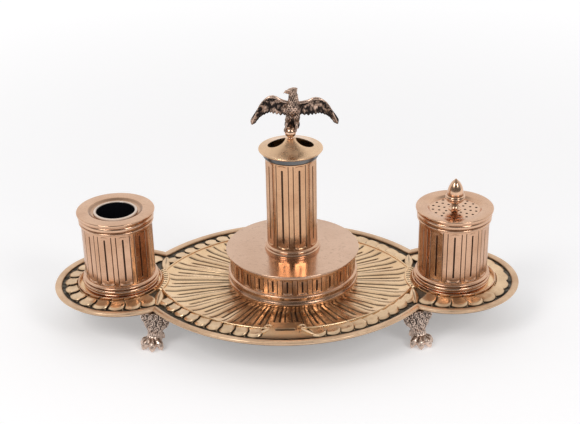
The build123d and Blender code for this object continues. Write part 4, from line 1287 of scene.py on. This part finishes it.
def bird_parts():
    """Head, beak, legs and claws, measured from the ball's centre."""
    parts = [((1.9, 2.0, 23.6), (1.8, 2.2, 25.2), 2.4, 2.55),
             ((1.7, 2.1, 25.3), (0.5, 1.9, 25.7), 2.5, 1.9),
             ((2.2, 2.3, 25.6), (3.4, 2.4, 26.6), 2.4, 1.3),
             ((3.4, 2.4, 26.8), (4.5, 2.5, 27.3), 0.9, 0.4),
             ((0.0, 1.7, 25.9), (-2.4, 1.4, 25.7), 1.15, 0.8),
             ((-2.4, 1.4, 25.6), (-3.7, 1.3, 24.7), 0.7, 0.28),
             ((0.0, 1.6, 24.6), (-2.2, 1.4, 24.6), 0.85, 0.4),
             ((0.4, 0.1, 26.7), (-1.0, 0.4, 26.4), 0.5, 0.4),
             ((0.6, -0.2, 25.9), (0.5, -0.3, 25.9), 0.42, 0.42),
             ((0.4, 3.6, 26.7), (-1.0, 3.2, 26.4), 0.5, 0.4)]
    for x1, x2, side in ((-1.6, -2.7, -1), (4.2, 3.7, 1)):
        parts.append(((x1, -0.3, 7.4), (x2, -0.7, 2.6), 0.95, 0.8))
        for claw in (52, 80, 108):
            cx, cy = spot(3.6, -90 + side * claw)
            parts.append(((x2, -0.8, 2.7), (cx, cy, 1.9), 0.66, 0.60))
            parts.append(((cx, cy, 1.9), (cx * 1.06, cy * 1.06, 0.4), 0.56, 0.28))
        cx, cy = spot(3.8, 90 - side * 30)
        parts.append(((x2, -0.2, 2.6), (cx, cy, 1.0), 0.66, 0.45))
    return [((*a[:2], a[2] + orb_z), (*b[:2], b[2] + orb_z), r0, r1) for a, b, r0, r1 in parts]


out = ([], [], [])
wing(out, -1)
wing(out, 1)
trunk = [(2.0, 2.2, 24.8, 1.9, 1.9), (2.1, 2.0, 23.2, 2.5, 2.4), (2.1, 1.4, 21.2, 2.7, 2.6),
         (2.0, 0.8, 19.4, 3.3, 3.1), (1.8, 0.4, 17.4, 4.1, 3.7), (1.7, 0.3, 15.0, 4.4, 3.9),
         (1.7, 0.5, 12.8, 4.3, 3.7), (1.7, 0.9, 11.3, 3.4, 3.0), (1.6, 1.3, 10.4, 2.0, 1.9)]
scaled_skin(out, trunk, 13, 1.3)
for hip, knee in ((-0.5, -1.6), (3.9, 4.2)):
    thigh = [(hip, 0.5, 12.6, 1.4, 1.4), (hip, 0.3, 11.2, 2.0, 2.1), (hip, 0.1, 9.8, 1.9, 2.0),
             (knee, -0.2, 8.0, 1.35, 1.4), (knee, -0.3, 6.7, 0.9, 0.9)]
    scaled_skin(out, thigh, 8, 1.1, 56)
for k in (-2, 2, -1, 1, 0):
    plume(out, (1.4 + 0.5 * k, 3.0, orb_z + 12.0), (1.0 + 1.9 * k, 4.9, orb_z - 0.6 + 0.5 * abs(k)),
          1.5, 0.4, 0.5)
points, normals, faces = lump(bird_parts(), 0.2, "eagle")
base = len(out[0])
for p, n in zip(points, normals):
    rough = noise.noise(Vector(p) * 1.7)
    rise = 0.10 * rough * ramp(p[2] - orb_z, 22.0, 24.0)
    out[0].append((p[0] + n[0] * rise, p[1] + n[1] * rise, min(top_z, p[2] + n[2] * rise)))
    # Places that face downwards are painted darker as shade.
    out[2].append(max(0.0, 0.25 - 1.2 * rough - 0.3 * n[2]))
out[1].extend(tuple(base + i for i in face) for face in faces)
form = [(x + drum_x, y, z) for x, y, z in out[0]], out[1], out[2]
cast_piece("spread_eagle", form, bronze_eagle, "cap", ["eagle"], 60)

# ---------------------------------------------------------------------------
# Hidden pieces keep their turned shape and take the metal that they are made
# of: the drum's floor, the feet's studs and the two nuts.
# ---------------------------------------------------------------------------
steel_stud = metal_finish("steel_stud", (0.50, 0.45, 0.38), (0.38, 0.33, 0.27), (0.12, 0.1, 0.08),
                          0.35, 0.5)
for node, finish in (("drum_floor", gilt_pot), ("foot_studs", steel_stud), ("pounce_nut", brass_inner),
                     ("cap_nut", brass_inner)):
    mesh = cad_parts[node].data
    mesh.materials.clear()
    mesh.materials.append(finish)

# ---------------------------------------------------------------------------
# Studio.  A wide sheet of pale paper, two soft lamps at the front left and the
# front right, and pale light from the back of the room.
# ---------------------------------------------------------------------------
floor_mesh = bpy.data.meshes.new("studio_floor")
half = 30
floor_mesh.from_pydata([(-half, -half, 0), (half, -half, 0), (half, half, 0), (-half, half, 0)], [],
                       [(0, 1, 2, 3)])
floor = bpy.data.objects.new("studio_floor", floor_mesh)
bpy.context.scene.collection.objects.link(floor)
paper = bpy.data.materials.new("studio_paper")
paper.use_nodes = True
nodes, links = paper.node_tree.nodes, paper.node_tree.links
skin = nodes["Principled BSDF"]
skin.inputs["Base Color"].default_value = (0.79, 0.785, 0.795, 1)
skin.inputs["Roughness"].default_value = 0.9
skin.inputs["Specular IOR Level"].default_value = 0.1
rays = nodes.new("ShaderNodeLightPath")
seen = nodes.new("ShaderNodeMath")
seen.operation = "MAXIMUM"
links.new(rays.outputs["Is Camera Ray"], seen.inputs[0])
links.new(rays.outputs["Is Glossy Ray"], seen.inputs[1])
spread = nodes.new("ShaderNodeTexCoord")
far_off = nodes.new("ShaderNodeVectorMath")
far_off.operation = "LENGTH"
links.new(spread.outputs["Object"], far_off.inputs[0])
paler = nodes.new("ShaderNodeMapRange")
paler.interpolation_type = "SMOOTHSTEP"
for socket, value in (("From Min", 0.2), ("From Max", 1.1), ("To Min", 0.29), ("To Max", 0.53)):
    paler.inputs[socket].default_value = value
links.new(far_off.outputs["Value"], paler.inputs["Value"])
glow = nodes.new("ShaderNodeMath")
glow.operation = "MULTIPLY"
links.new(seen.outputs[0], glow.inputs[0])
links.new(paler.outputs["Result"], glow.inputs[1])
skin.inputs["Emission Color"].default_value = (1, 1, 1, 1)
links.new(glow.outputs[0], skin.inputs["Emission Strength"])
floor_mesh.materials.append(paper)

world = bpy.data.worlds.new("studio_air")
bpy.context.scene.world = world
world.use_nodes = True
nodes, links = world.node_tree.nodes, world.node_tree.links
air = nodes["Background"]
way = nodes.new("ShaderNodeTexCoord")
split = nodes.new("ShaderNodeSeparateXYZ")
links.new(way.outputs["Generated"], split.inputs["Vector"])
wall = nodes.new("ShaderNodeMapRange")
wall.interpolation_type = "SMOOTHSTEP"
for socket, value in (("From Min", -0.55), ("From Max", 0.35), ("To Min", 0.15), ("To Max", 0.95)):
    wall.inputs[socket].default_value = value
links.new(split.outputs["Y"], wall.inputs["Value"])
rays = nodes.new("ShaderNodeLightPath")
shown = nodes.new("ShaderNodeMix")
shown.data_type = "FLOAT"
shown.inputs[3].default_value = 0.975
links.new(rays.outputs["Is Camera Ray"], shown.inputs[0])
links.new(wall.outputs["Result"], shown.inputs[2])
dim = nodes.new("ShaderNodeMix")
dim.data_type = "FLOAT"
dim.inputs[3].default_value = 0.59
links.new(rays.outputs["Is Diffuse Ray"], dim.inputs[0])
links.new(shown.outputs[0], dim.inputs[2])
links.new(dim.outputs[0], air.inputs["Strength"])
air.inputs["Color"].default_value = (1, 1, 1, 1)


def lamp(name, place, aim, size, power, colour):
    """A square soft lamp that looks from place to aim, in metres."""
    light = bpy.data.lights.new(name, "AREA")
    light.shape = "SQUARE"
    light.size = size
    light.energy = power
    light.color = colour
    lit = bpy.data.objects.new(name, light)
    lit.location = place
    lit.rotation_euler = (Vector(aim) - Vector(place)).to_track_quat("-Z", "Y").to_euler()
    bpy.context.scene.collection.objects.link(lit)


lamp("soft_left", (-0.62, -0.72, 0.98), (0, 0, 0.03), 0.5, 4.6, (1.0, 0.98, 0.96))
lamp("soft_right", (0.72, -0.80, 0.90), (0, 0, 0.04), 0.42, 3.4, (1.0, 0.99, 0.98))

# ---------------------------------------------------------------------------
# Camera.  It looks at the inkstand from the front and above, at the
# photograph's angle, with the same lens.
# ---------------------------------------------------------------------------
focus = Vector((0.016997, 0, 0.037876))
tilt, distance = math.radians(28.075), 0.824271
round_by, roll_by = math.radians(0.1394), math.radians(-0.5896)
picture_w, picture_h = 580, 424                      # the photograph, in pixels
focal, axis_x, axis_y = 1276.49, 312.98, 264.19      # its lens and the middle of its view, in pixels
forward = Vector((0, math.cos(tilt), -math.sin(tilt)))
seat = Matrix.Translation(focus - forward * distance) @ Matrix.Rotation(math.radians(90) - tilt, 4, "X")
seat = Matrix.Rotation(round_by, 4, "Z") @ seat @ Matrix.Rotation(roll_by, 4, "Z")
lens = bpy.data.cameras.new("view")
lens.sensor_width = 36.0
lens.lens = focal * lens.sensor_width / picture_w
lens.shift_x = (picture_w / 2 - axis_x) / picture_w
lens.shift_y = (axis_y - picture_h / 2) / picture_w
lens.clip_start = 0.01
lens.clip_end = 200
camera = bpy.data.objects.new("view", lens)
camera.matrix_world = seat
bpy.context.scene.collection.objects.link(camera)
bpy.context.scene.camera = camera
bpy.context.scene.view_settings.view_transform = "Standard"
